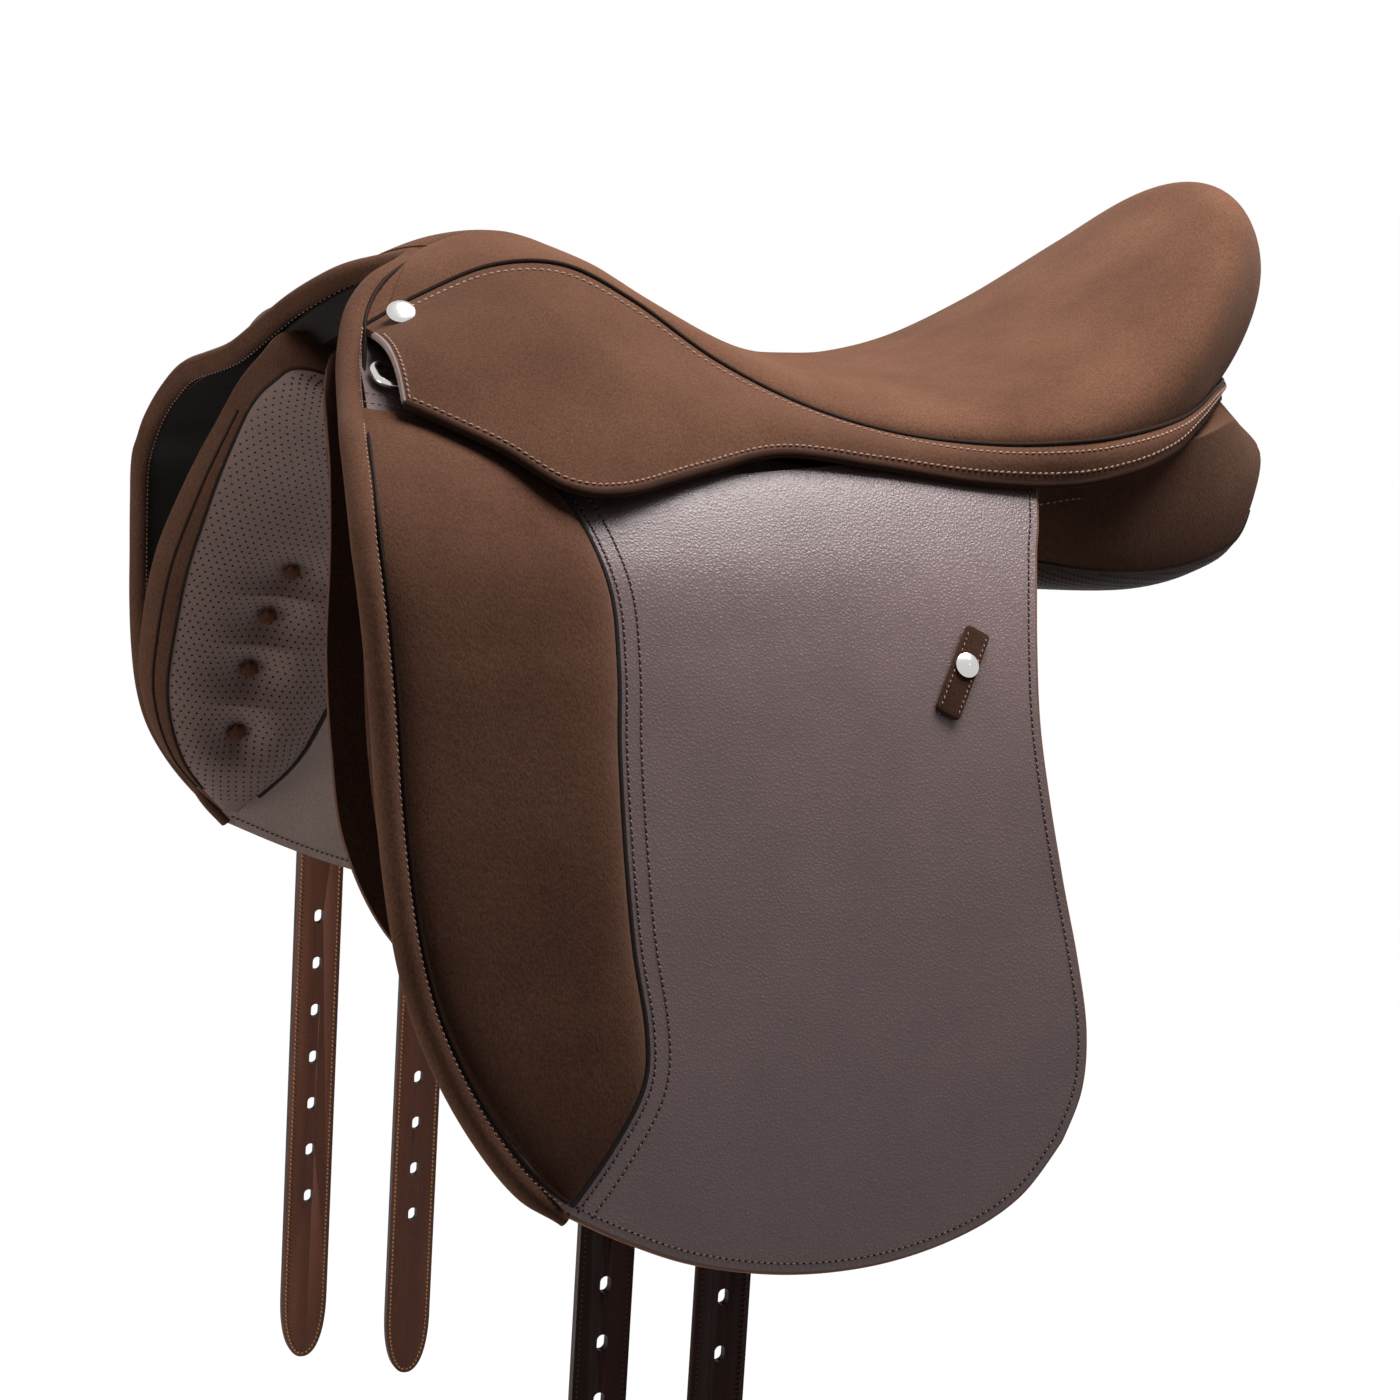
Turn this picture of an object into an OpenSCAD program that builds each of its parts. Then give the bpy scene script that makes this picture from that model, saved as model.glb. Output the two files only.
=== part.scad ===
// Dressage saddle. Millimetres. X runs to the cantle, -Y is the rider's left, Z is up.
// The origin lies on the mid-plane below the deepest point of the seat, at the level of the back.

/* [Seat] */
// Seat size, from the stud at the pommel to the middle of the cantle
seat_size = 445; // [425:5:465]
// Width of the seat at its widest place
seat_width = 248; // [238:2:258]
// Rise of the pommel above the deepest point of the seat
pommel_rise = 51; // [46:1:56]
// Rise of the cantle above the deepest point of the seat
cantle_rise = 93; // [85:1:100]
// Thickness of the seat's leather with its thin backing
cover_t = 3; // [2.5:0.1:3.4]
// Depth of the foam over the tree
foam_t = 9; // [8:0.2:10]
// Thickness of the moulded tree
tree_t = 7; // [5.5:0.5:7.5]

/* [Flaps] */
// Drop of the flap from its fold line to its lowest point
flap_drop = 299; // [285:1:312]
// Thickness of the flap's leather
flap_t = 4.5; // [3.8:0.1:5]
// Thickness of the skirt's leather with its lining
skirt_t = 4; // [3.4:0.1:4.4]
// Thickness of the sweat flap
sweat_t = 3.5; // [3:0.1:3.9]
// Height of the padded suede panel on the flap
pad_t = 9; // [7:0.5:10]
// Angle that the off-side flap stands out beyond the near-side one
off_flap_angle = 15; // [8:1:20]
// Radius of the rolled front edge
roll_r = 5.5; // [4.5:0.25:5.75]

/* [Panels and knee blocks] */
// Depth of the panel lobe's filling
lobe_t = 20; // [17:1:23]
// Depth of the tufts sewn into the panel's lobes
tuft_depth = 7; // [5:0.5:8]
// Diameter of a tuft
tuft_d = 9; // [8:0.5:10]
// Height of the knee block between the flap and the sweat flap
block_t = 24; // [18:1:26]

/* [Girth straps] */
// Width of a girth strap
strap_w = 25; // [22:1:28]
// Thickness of a girth strap
strap_t = 4; // [3.4:0.1:4.4]
// Number of holes in a girth strap
hole_count = 7; // [5:1:7]
// Distance between two holes
hole_pitch = 26; // [24:0.5:27]
// Width of an oval hole
hole_w = 4.8; // [4:0.2:5.6]
// Length of an oval hole
hole_l = 7.4; // [6.4:0.2:8.4]

/* [Metal fittings] */
// Diameter of the stud on the skirt
stud_d = 12.5; // [11:0.5:14]
// Diameter of the button on the keeper
button_d = 11; // [9:0.5:12]
// Wire radius of the dee ring
dee_r = 2; // [1.6:0.1:2.2]
// Length of the dee ring along the saddle
dee_l = 25; // [22:1:27]
// Height of the dee ring
dee_h = 21; // [19:1:23]
// Free gap behind the stirrup bar
bar_gap = 8.5; // [8:0.25:9]
// Length of the stirrup bar
bar_l = 78; // [70:2:82]
// Height of the stirrup bar's section
bar_h = 14; // [12:1:15]

/* [Hidden] */
$fn = 40;
SIDES = ["left", "right"];
GAP = 0.5;

// Ratios that carry the main sizes into every curve
KX = seat_size / 445;
KY = seat_width / 248;
KP = pommel_rise / 51;
KC = cantle_rise / 93;
KF = flap_drop / 299;
DIP_Z = 110;
FOLD_Z = 48;

function rise(x, z) = DIP_Z + (z - DIP_Z) * (x < 0 ? KP : KC);
function drop(z) = FOLD_Z + (z - FOLD_Z) * KF;
function level(x, z) = z > DIP_Z ? rise(x, z) : z < FOLD_Z ? drop(z) : z;
// Left-hand design point, half-width positive, to a place in the frame
function place(p) = [KX * p.x, -KY * p.y, level(p.x, p.z)];

function mix(a, b, t) = a + (b - a) * t;
function clamp(v, a, b) = min(max(v, a), b);
function smooth(a, b, v) = let (t = clamp((v - a) / (b - a), 0, 1)) t * t * (3 - 2 * t);
function unit(v) = v / norm(v);

// Curve through points, t from 0 to 1
function curve_in(a, b, c, d, f) =
    b + 0.5 * f * (c - a + f * (2 * a - 5 * b + 4 * c - d + f * (3 * (b - c) + d - a)));
function curve_at(p, i, f) =
    curve_in(p[max(i - 1, 0)], p[i], p[i + 1], p[min(i + 2, len(p) - 1)], f);
function curve(p, t) =
    let (s = clamp(t, 0, 1) * (len(p) - 1), i = min(floor(s), len(p) - 2)) curve_at(p, i, s - i);

// Patch inside four edge curves
function patch(top, bottom, left, right, u, v) =
    let (
        a = mix(curve(top, u), curve(bottom, u), v),
        b = mix(curve(left, v), curve(right, v), u),
        c = mix(top[0], top[len(top) - 1], u),
        d = mix(bottom[0], bottom[len(bottom) - 1], u)
    ) a + b - mix(c, d, v);

// Closed solid between two grids of points, outer seen from outside
module shell(outer, inner) {
    n = len(outer);
    m = len(outer[0]);
    k = n * m;
    points = concat([for (r = outer) for (p = r) p], [for (r = inner) for (p = r) p]);
    // The diagonals run into the corners, so that no corner triangle is flat
    skin = [for (i = [0:n - 2]) for (j = [0:m - 2]) let (
        a = i * m + j,
        b = a + 1,
        c = a + m,
        d = c + 1,
        far_corner = (i < (n - 1) / 2) != (j < (m - 1) / 2)
    ) for (f = far_corner ? [[a, c, b], [c, d, b]] : [[a, d, b], [a, c, d]]) f];
    back = [for (f = skin) [f[0] + k, f[2] + k, f[1] + k]];
    ring = concat(
        [for (j = [0:m - 2]) j],
        [for (i = [0:n - 2]) i * m + m - 1],
        [for (j = [0:m - 2]) n * m - 1 - j],
        [for (i = [0:n - 2]) (n - 1 - i) * m]
    );
    c = len(ring);
    rim = [for (i = [0:c - 1]) let (a = ring[i], b = ring[(i + 1) % c]) for (f = [
        [a, b, a + k],
        [b, b + k, a + k]
    ]) f];
    polyhedron(points, concat(skin, back, rim), convexity = 8);
}

// Round rod along a row of centre points
module rod(path, r, sides) {
    n = len(path);
    frame = [for (i = [0:n - 1]) let (
        t = unit(path[min(i + 1, n - 1)] - path[max(i - 1, 0)]),
        a = unit(cross(t, [0.31, 0.17, 0.93])),
        b = cross(t, a)
    ) [a, b]];
    points = [for (i = [0:n - 1]) for (j = [0:sides - 1])
        path[i] + r * (cos(360 * j / sides) * frame[i][0] + sin(360 * j / sides) * frame[i][1])];
    walls = [for (i = [0:n - 2]) for (j = [0:sides - 1]) let (
        a = i * sides + j,
        b = i * sides + (j + 1) % sides
    ) for (f = [[a, a + sides, b + sides], [a, b + sides, b]]) f];
    ends = concat(
        [for (j = [1:sides - 2]) [0, j, j + 1]],
        [for (j = [1:sides - 2]) let (e = (n - 1) * sides) [e, e + j + 1, e + j]]
    );
    polyhedron(points, concat(walls, ends), convexity = 8);
}

module on_side(side) {
    if (side == "left") children();
    else mirror([0, 1, 0]) children();
}

// Seat: profile on the mid-plane as [x, z], sewn edge as [x, half-width, z]
SEAT_MID = [
    [-188, 151.5], [-170, 160], [-150, 161], [-122, 152], [-90, 134], [-52, 117],
    [-18, 109], [15, 107.5], [52, 110], [92, 122], [135, 147], [179, 179],
    [206, 198], [227, 194], [241, 172], [238, 142], [230, 104]
];
SEAT_EDGE = [
    [-229.5, 48, 121.5], [-208.5, 45, 135.5], [-176, 46, 149.3], [-145, 53, 151], [-115, 63, 137],
    [-80, 79, 113], [-42, 96, 95], [-2, 111, 85], [42, 121, 82], [84, 124, 84],
    [116, 119, 88], [143, 109, 93], [163, 95, 98], [181, 78, 103], [197, 60, 105],
    [210, 42, 105], [222, 22, 104]
];
SEAT_N = len(SEAT_MID);
function along(p, i) = unit(p[min(i + 1, len(p) - 1)] - p[max(i - 1, 0)]);
function mid_normal(i) = let (t = along(SEAT_MID, i)) [-t.y, t.x];
EDGE_PLAN = [for (e = SEAT_EDGE) [e.x, e.y]];
function edge_normal(i) = let (t = along(EDGE_PLAN, i)) [-t.y, t.x, 0];

function mid_inset(d) = [for (i = [0:SEAT_N - 1]) SEAT_MID[i] - d * mid_normal(i)];
function edge_inset(d, sink) =
    [for (i = [0:SEAT_N - 1]) SEAT_EDGE[i] - d * edge_normal(i) - [0, 0, sink]];
function seat_point(mid, edge, t, v) = let (
    c = curve(mid, t),
    e = curve(edge, t),
    s = sin(90 * v),
    k = cos(90 * v),
    head = clamp(1 - t / 0.2, 0, 1),
    sweep = mix(1 - k, pow(abs(s), 0.65), head),
    arch = mix(k, 1 - pow(abs(s), 1.8), head)
) place([mix(c.x, e.x, sweep), e.y * s, mix(e.z, c.y, arch)]);
// Layer of the seat at a depth below its face
function seat_layer(d, sink, nu, nv, t0, t1, v1) = let (
    mid = mid_inset(d),
    edge = edge_inset(d, sink)
) [for (i = [0:nu]) [for (j = [0:nv])
    seat_point(mid, edge, mix(t0, t1, i / nu), mix(-v1, v1, j / nv))]];

SEAT_U = 30;
SEAT_V = 12;
SEAT_START = 0.02;
SEAT_STEP = (1 - SEAT_START) / SEAT_U;
FOAM_IN = cover_t + GAP;
WEB_IN = FOAM_IN + foam_t + 0.6;
TREE_IN = WEB_IN + 2.8;
// The tree runs from the head to the top of the cantle
TREE_START = 0.13;
TREE_END = 0.735;

// Flap and sweat flap: half-width at steps of 40 mm down from 120 mm
PROFILE_TOP = 120;
PROFILE_STEP = 40;
FLAP_PROFILE = [70, 112, 144, 170, 190, 206, 218, 228, 236, 242, 246];
SWEAT_PROFILE = [36, 78, 113, 138, 156, 169.5, 180, 186.5, 190, 191, 191];
// The flap stands further out at its front, over the knee block: extra half-width there
FLAP_SHOULDER = [-23, 19, 28, 18, 8, 2, 0, 0, 0, 0, 0];
SHOULDER_X = [-268, 55];
function profile_at(profile, x) = profile == FLAP_PROFILE
    ? profile + (SHOULDER_X[1] - x) / (SHOULDER_X[1] - SHOULDER_X[0]) * FLAP_SHOULDER : profile;
function width_at(profile, z) =
    curve(profile, (PROFILE_TOP - z) / PROFILE_STEP / (len(profile) - 1));
function out_normal(profile, z) =
    let (s = width_at(profile, z - 1) - width_at(profile, z + 1)) unit([0, 2, s]);
// Point at a height over a hanging surface, from a design point [x, z]
function over(profile, p, h) = let (q = profile_at(profile, p.x))
    place([p.x, width_at(q, p.y), p.y] + h * out_normal(q, p.y));
// The fold line of the flap is straight, and further out at its front
FLAP_AXIS = over(FLAP_PROFILE, [0, FOLD_Z], 0);
FLAP_AXIS_DIR = unit(over(FLAP_PROFILE, [SHOULDER_X[1], FOLD_Z], 0) - over(FLAP_PROFILE, [SHOULDER_X[0], FOLD_Z], 0));

// Sheet of a thickness on a hanging surface, its top at a height
module sheet(profile, top, bottom, left, right, nu, nv, h, t) {
    grid = [for (i = [0:nu]) [for (j = [0:nv]) patch(top, bottom, left, right, i / nu, j / nv)]];
    shell(
        [for (r = grid) [for (p = r) over(profile, p, h)]],
        [for (r = grid) [for (p = r) over(profile, p, h - t)]]
    );
}

// Pad with a crown on a hanging surface
module pad(profile, top, bottom, left, right, nu, nv, h, t, edge) {
    grid = [for (i = [0:nu]) [for (j = [0:nv])
        let (u = i / nu, v = j / nv, crown = pow(max(sin(180 * u) * sin(180 * v), 0), 0.45))
        [patch(top, bottom, left, right, u, v), h + edge + (t - edge) * crown]]];
    shell(
        [for (r = grid) [for (p = r) over(profile, p[0], p[1])]],
        [for (r = grid) [for (p = r) over(profile, p[0], h)]]
    );
}

// Front rim, from the apex of the pommel to the fold line, as [x, half-width, z]
RIM = [
    [-195, 0, 147.5], [-206, 12, 143.3], [-219, 22, 138.5], [-230, 32, 130.5], [-238, 45, 121.4],
    [-246, 65, 107.6], [-251.7, 85, 96.3], [-257.3, 105, 89.6], [-263, 125, 83], [-267, 145, 69.5],
    [-269.2, 157.5, 58], [-270.3, 165.5, 49.5]
];
FLAP_FRONT = [
    [-270.5, 47.7], [-270.5, 28], [-269.3, 5], [-268, -24], [-266.9, -55], [-264.7, -85.7], [-261, -113],
    [-255, -137], [-245.5, -160], [-233, -182], [-217, -203], [-198, -219]
];
// The sheet of the flap ends inside the rolled edge
ROLL_ROOM = roll_r + 1;
function inside(p, d) = [for (i = [0:len(p) - 1]) let (t = along(p, i)) p[i] + d * [-t.y, t.x]];
FLAP_LEFT = inside(FLAP_FRONT, ROLL_ROOM);
FLAP_BOTTOM = concat([FLAP_LEFT[len(FLAP_LEFT) - 1]], [
    [-171, -229.5], [-139, -242], [-97, -250], [-55, -250], [-17, -242], [12, -228], [33, -206]
]);
FLAP_RIGHT = [
    [55, 47.7], [49, 33], [40, 1], [35, -31], [35, -64], [38, -97], [43, -130],
    [46, -160], [43, -185], [33, -206]
];
FLAP_TOP_EDGE = [FLAP_LEFT[0], [-160, 47.7], [-55, 47.7], [55, 47.7]];

UPPER_LEFT = [
    [-243, 101], [-249, 91.5], [-256, 81], [-261, 66], [-264, 48.4]
];
UPPER_BOTTOM = [[-264, 48.4], [-160, 48.4], [-55, 48.4], [55, 48.4]];
UPPER_RIGHT = [[64, 72], [60, 62], [55, 48.4]];
UPPER_TOP = [
    [-243, 101], [-219, 107], [-192, 94], [-165, 77], [-138, 70], [-100, 69], [-60, 71],
    [-15, 74], [25, 75], [64, 72]
];

PAD_SEAM = [
    [-167, 32], [-165.3, 20.7], [-165.8, -8.2], [-167.7, -36], [-167.8, -75.7], [-166, -114], [-162, -146],
    [-164, -168], [-178, -191], [-196, -213]
];
PAD_FRONT = [
    [-258.8, 32], [-258, 11.4], [-256.8, -21], [-255.5, -52], [-253.3, -82.7], [-249, -112], [-242, -138],
    [-231, -161], [-216, -184], [-199, -211]
];
PAD_TOP = [PAD_FRONT[0], [-229, 32], [-197, 32], PAD_SEAM[0]];
PAD_BOTTOM = [PAD_FRONT[9], [-197.5, -212], PAD_SEAM[9]];
PAD_UP_TOP = [[-243, 90], [-222, 85], [-200, 77], [-184.6, 67]];
PAD_UP_BOTTOM = [[-257, 60], [-233, 60], [-204, 60], [-178, 60]];
PAD_UP_LEFT = [PAD_UP_TOP[0], [-252, 76], PAD_UP_BOTTOM[0]];
PAD_UP_RIGHT = [PAD_UP_TOP[3], [-181, 63.5], PAD_UP_BOTTOM[3]];

SWEAT_LEFT = [
    [-238, 90], [-254, 60], [-263, 27], [-268, -6], [-270, -42], [-266, -80], [-255, -113],
    [-238, -138], [-220, -154]
];
SWEAT_BOTTOM = [
    [-220, -154], [-190, -168], [-160, -180], [-115, -194], [-65, -198], [-25, -190], [5, -172]
];
SWEAT_RIGHT = [[30, 62], [22, 20], [15, -30], [12, -80], [13, -130], [5, -172]];
SWEAT_TOP = [[-238, 90], [-180, 84], [-100, 76], [-30, 66], [30, 62]];

BLOCK_LEFT = [[-244, 46], [-252, 10], [-257, -30], [-255, -70], [-243, -104], [-226, -130]];
BLOCK_RIGHT = [[-206, 40], [-207, 5], [-210, -30], [-209, -70], [-206, -104], [-206, -130]];
BLOCK_TOP = [BLOCK_LEFT[0], [-225, 45], BLOCK_RIGHT[0]];
BLOCK_BOTTOM = [BLOCK_LEFT[5], [-216, -133], BLOCK_RIGHT[5]];

// Skirt: lower edge as [x, half-width, z], one point to each point of the seat's edge
SKIRT_LOW = [
    [-239, 122, 97], [-223.3, 133, 90], [-203.2, 146, 80.6], [-181.5, 161, 67.8], [-154.3, 157.5, 65.4],
    [-113, 142, 72.2], [-71, 131.5, 79.1], [-22.3, 130, 73.9], [27, 131, 67.4], [72, 131, 66],
    [106, 129, 71], [134, 121, 79], [155, 107, 88], [174, 90, 95], [191, 70, 98],
    [206, 50, 98], [220, 26, 97]
];
SKIRT_SLOPE = [0.72, 0.69];
function skirt_normal(u) =
    let (i = u * (SEAT_N - 1), a = edge_normal(floor(i)), b = edge_normal(min(floor(i) + 1, SEAT_N - 1)))
    let (n = unit(mix(a, b, i - floor(i)))) [SKIRT_SLOPE.x * n.x, SKIRT_SLOPE.x * n.y, SKIRT_SLOPE.y];
SKIRT_SEAM = [for (i = [0:SEAT_N - 1]) SEAT_EDGE[i] + 0.9 * edge_normal(i) - [0, 0, 0.6]];
function skirt_point(u, v, h) = let (
    bulge = mix(9, 3, smooth(0.25, 0.5, u)) * sin(180 * v)
) mix(curve(SKIRT_SEAM, u), curve(SKIRT_LOW, u), v) + (bulge + h) * skirt_normal(u);

// Panel ribbon: inner edge, outer edge, depth of filling and direction of the filling
PANEL_IN = [
    [-224, 185, -147], [-256, 180, -114], [-272, 170, -78], [-275, 157, -42], [-273.5, 140, -6],
    [-267, 121, 28], [-261, 93, 60], [-253, 68, 88], [-232, 51, 101], [-178, 42, 93],
    [-112, 36, 84], [-55, 34, 76], [10, 34, 72], [80, 34, 72], [140, 36, 77], [182, 42, 84],
    [205, 60, 80]
];
PANEL_OUT = [
    [-215, 185, -148], [-188, 182, -119], [-174, 172, -88], [-163, 160, -54], [-148, 147, -21],
    [-126, 134, 6], [-100, 122, 28], [-68, 112, 48], [-34, 88, 62], [2, 87, 66],
    [38, 94, 70], [76, 114, 74], [110, 116, 77], [142, 110, 81], [173, 99, 84], [196, 85, 84],
    [209, 73, 80]
];
PANEL_DEPTH = [5, 16, 19, 20, 21, 23, 25, 28, 33, 40, 47, 56, 64, 70, 72, 66, 34];
PANEL_TURN = [15, 17, 20, 25, 30, 36, 42, 48, 56, 66, 76, 85, 90, 90, 90, 90, 90];
PANEL_N = len(PANEL_DEPTH);
TUFTS = [[1.55, 0.5], [2.6, 0.5], [3.45, 0.5], [4.2, 0.5]];
function panel_back(u, v) = let (
    i = u * (PANEL_N - 1),
    p = mix(curve(PANEL_IN, u), curve(PANEL_OUT, u), v),
    hang = 1 - smooth(7, 10, i),
    w = width_at(SWEAT_PROFILE, p.z) - (sweat_t + 2 * GAP) / out_normal(SWEAT_PROFILE, p.z).y
) [p.x + rear_turn(u, 0), mix(p.y, w, hang), p.z];
// The rear end is rounded from top to bottom; q is the share of the depth
function rear_turn(u, q) = smooth(12.6, 16, u * (PANEL_N - 1)) *
    (-14 + 24 * sin(90 * min(1.7 * q, 1)) - 12.6 * q * q);
function tuft_dent(u, v) = tuft_depth * max([for (t = TUFTS)
    let (a = (u * (PANEL_N - 1) - t[0]) / 0.36, b = (v - t[1]) / 0.14) exp(-a * a - b * b)]);
function panel_depth(u, v) = let (
    i = u * (PANEL_N - 1),
    full = mix(2.6, 5, smooth(6, 11, i)),
    ends = sqrt(clamp(1 - pow(1 - clamp(i / 0.9, 0, 1), 2), 0, 1)),
    close = pow(clamp(1 - pow(clamp((i - 14.6) / 1.4, 0, 1), 2.4), 0, 1), 0.5),
    across = pow(max(1 - pow(abs(2 * v - 1), full), 0), 1 / full),
    scale_lobe = mix(lobe_t / 20, 1, smooth(6, 9, i))
) max(curve(PANEL_DEPTH, u) * scale_lobe * ends * close * across, 1.2);
function panel_dir(u) =
    let (a = curve(PANEL_TURN, u), lean = 0.16 * smooth(13, 16, u * (PANEL_N - 1))) [lean, -cos(a), -sin(a)];
function panel_face(u, v) = let (
    depth = panel_depth(u, v),
    turn = rear_turn(u, clamp(depth / max(curve(PANEL_DEPTH, u), 6), 0, 1)) - rear_turn(u, 0)
) panel_back(u, v) + max(depth - tuft_dent(u, v), 1.2) * panel_dir(u) + [turn, 0, 0];
// Finer steps over the tufted lobe
function panel_step(k) = k < 0.5 ? k * 0.64 : 0.32 + (k - 0.5) * 1.36;
function panel_cross(k) = 0.5 - 0.5 * cos(180 * k);

module panel_body() {
    nu = 36;
    nv = 12;
    back = [for (i = [0:nu]) [for (j = [0:nv]) place(panel_back(panel_step(i / nu), panel_cross(j / nv)))]];
    face = [for (i = [0:nu]) [for (j = [0:nv]) place(panel_face(panel_step(i / nu), panel_cross(j / nv)))]];
    shell(back, face);
}

// Girth straps
FRONT_X = -163;
REAR_X = -105;
REAR_IN = 193.5;
FRONT_IN = REAR_IN + strap_t + 1.5;
PIVOT_Z = -110;
FRONT_TIP = -460;
REAR_TIP = -474;
LAST_HOLE = 92;
WEB_W = 34;
WEB_T = 2.2;

// Outline of a strap from its round sewn end to its tapered tip
module strap_shape(tip) {
    r = strap_w / 2;
    taper = 1.5 * strap_w;
    flat_l = PIVOT_Z - tip - taper;
    sewn_end = [for (a = [0:10:180]) r * [cos(a), sin(a)]];
    tip_end = [for (a = [180:6:360]) [
        r * sign(cos(a)) * pow(abs(cos(a)), 0.9),
        -flat_l - taper * pow(abs(sin(a)), 0.8)
    ]];
    difference() {
        polygon(concat(sewn_end, tip_end));
        for (i = [0:hole_count - 1]) translate([0, tip - PIVOT_Z + LAST_HOLE + i * hole_pitch]) {
            for (s = [-1, 1]) translate([0, s * (hole_l - hole_w) / 2]) circle(d = hole_w, $fn = 32);
            square([hole_w, hole_l - hole_w], center = true);
        }
    }
}

// Strap in a plane of constant half-width, its inner face at w
module strap(x, w, tip) {
    pivot = place([x, 0, 0]);
    translate([pivot.x, -KY * w, drop(PIVOT_Z)])
        rotate([90, 0, 0])
            linear_extrude(strap_t) strap_shape(drop(tip) - drop(PIVOT_Z) + PIVOT_Z);
}

// Web that runs from the tree over the sweat flap to the back of a strap
function web_line(w_end, z) =
    let (on = width_at(SWEAT_PROFILE, z) + (GAP + WEB_T / 2) / out_normal(SWEAT_PROFILE, z).y)
    mix(on, w_end - 0.4 - WEB_T / 2, smooth(-25, -92, z));
function ribbon(line, t) = concat(
    [for (i = [0:len(line) - 1]) let (d = along(line, i)) line[i] + t / 2 * [-d.y, d.x]],
    [for (i = [len(line) - 1:-1:0]) let (d = along(line, i)) line[i] - t / 2 * [-d.y, d.x]]
);
module web(x, w_end) {
    line = [for (z = [84:-8:-132]) [-KY * web_line(w_end, z), level(0, z)]];
    extrude_x(KX * x - WEB_W / 2, WEB_W) polygon(ribbon(line, WEB_T));
}

// Extrude a [y, z] outline along X
module extrude_x(x, l) {
    translate([x, 0, 0]) rotate([90, 0, 90]) linear_extrude(l) children();
}

// Gullet plate: steel arch under the head with a strip down each side for the stirrup bars
PLATE_T = 3.5;
PLATE_X = -177;
PLATE_L = 28;
STRIP_L = 117;
PLATE_LIFT = GAP + WEB_T + 0.8 + PLATE_T / 2;
function strip_line(z) =
    let (n = out_normal(SWEAT_PROFILE, z)) [width_at(SWEAT_PROFILE, z), z] + PLATE_LIFT * [n.y, n.z];
ARCH_Z = 134.6;
ARCH_LINE = [[0, ARCH_Z], [16, ARCH_Z - 0.8], [30, ARCH_Z - 3], [42, ARCH_Z - 8], [52, 120], [60, 110]];
STRIP_Z = [for (z = [90:-6:60]) z];
function yz(p) = let (q = place([-170, p.x, p.y])) [q.y, q.z];

module gullet_side() {
    strips = [for (z = STRIP_Z) yz(strip_line(z))];
    line = concat([for (p = ARCH_LINE) yz(p)], strips);
    extrude_x(KX * PLATE_X, PLATE_L) polygon(ribbon(line, PLATE_T));
    extrude_x(KX * PLATE_X, STRIP_L) polygon(ribbon(strips, PLATE_T));
}

// Local frame of the stirrup bar on the outer face of the strip
BAR_Z = 77;
BAR_N = let (n = out_normal(SWEAT_PROFILE, BAR_Z)) [0, -n.y, n.z];
BAR_TILT = atan2(-BAR_N.y, BAR_N.z);
BAR_AT = let (q = yz(strip_line(BAR_Z))) [KX * -148, q.x, q.y] + (PLATE_T / 2 + 0.3) * BAR_N;
BAR_BASE = 4;
BAR_ARM = 5;
BAR_OUT = BAR_BASE + bar_gap + BAR_ARM;
CATCH_L = 13;
TONGUE = 10;
RIVET_R = 2.2;
RIVETS = [16, 42];
// Children lie with X along the bar and Z out from the tree
module at_bar() {
    translate(BAR_AT) rotate([BAR_TILT, 0, 0]) children();
}

// Dee ring on the upper flap, under the front edge of the skirt
DEE_Z = 101;
DEE_X = -219.5;
DEE_N = let (n = out_normal(profile_at(FLAP_PROFILE, DEE_X), DEE_Z)) [0, -n.y, n.z];
DEE_TILT = atan2(-DEE_N.y, DEE_N.z);
DEE_AT = over(FLAP_PROFILE, [DEE_X, DEE_Z], 0) + 3.6 * DEE_N;
module at_dee() {
    translate(DEE_AT) rotate([DEE_TILT, 0, 0]) children();
}

KEEPER_AT = [-1, -11];
KEEPER_L = 43;
KEEPER_W = 12;
KEEPER_T = 2.2;
KEEPER_LIFT = 0.65;
KEEPER_ANGLE = 60;
KEEPER_N = let (n = out_normal(profile_at(FLAP_PROFILE, KEEPER_AT.x), KEEPER_AT.y)) [0, -n.y, n.z];
module at_keeper() {
    translate(over(FLAP_PROFILE, KEEPER_AT, 0))
        rotate([atan2(-KEEPER_N.y, KEEPER_N.z), 0, 0])
            rotate([0, 0, KEEPER_ANGLE]) children();
}

STUD_U = 0.034;
STUD_V = 0.13;
STUD_N = unit(cross(
    place(skirt_point(STUD_U, STUD_V + 0.05, 0)) - place(skirt_point(STUD_U, STUD_V - 0.05, 0)),
    place(skirt_point(STUD_U + 0.02, STUD_V, 0)) - place(skirt_point(STUD_U - 0.02, STUD_V, 0))
));
module at_stud() {
    n = STUD_N;
    translate(place(skirt_point(STUD_U, STUD_V, 0)))
        rotate([0, acos(n.z), atan2(n.y, n.x)]) children();
}

// Off-side pieces of the flap stand out by their angle
module on_flap(side) {
    if (side == "left") children();
    else translate([0, -FLAP_AXIS.y, FLAP_AXIS.z])
        rotate(off_flap_angle, [FLAP_AXIS_DIR.x, -FLAP_AXIS_DIR.y, 0])
            translate([0, FLAP_AXIS.y, -FLAP_AXIS.z])
                mirror([0, 1, 0]) children();
}

SUEDE = [0.31, 0.20, 0.14];
LEATHER = [0.42, 0.36, 0.35];
PERFORATED = [0.40, 0.34, 0.32];
BLACK = [0.09, 0.09, 0.10];
STRAP = [0.33, 0.21, 0.14];
CHROME = [0.82, 0.83, 0.85];
STEEL = [0.55, 0.57, 0.60];
FOAM = [0.85, 0.80, 0.62];
POLYMER = [0.16, 0.16, 0.17];
WEBBING = [0.72, 0.70, 0.64];

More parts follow.
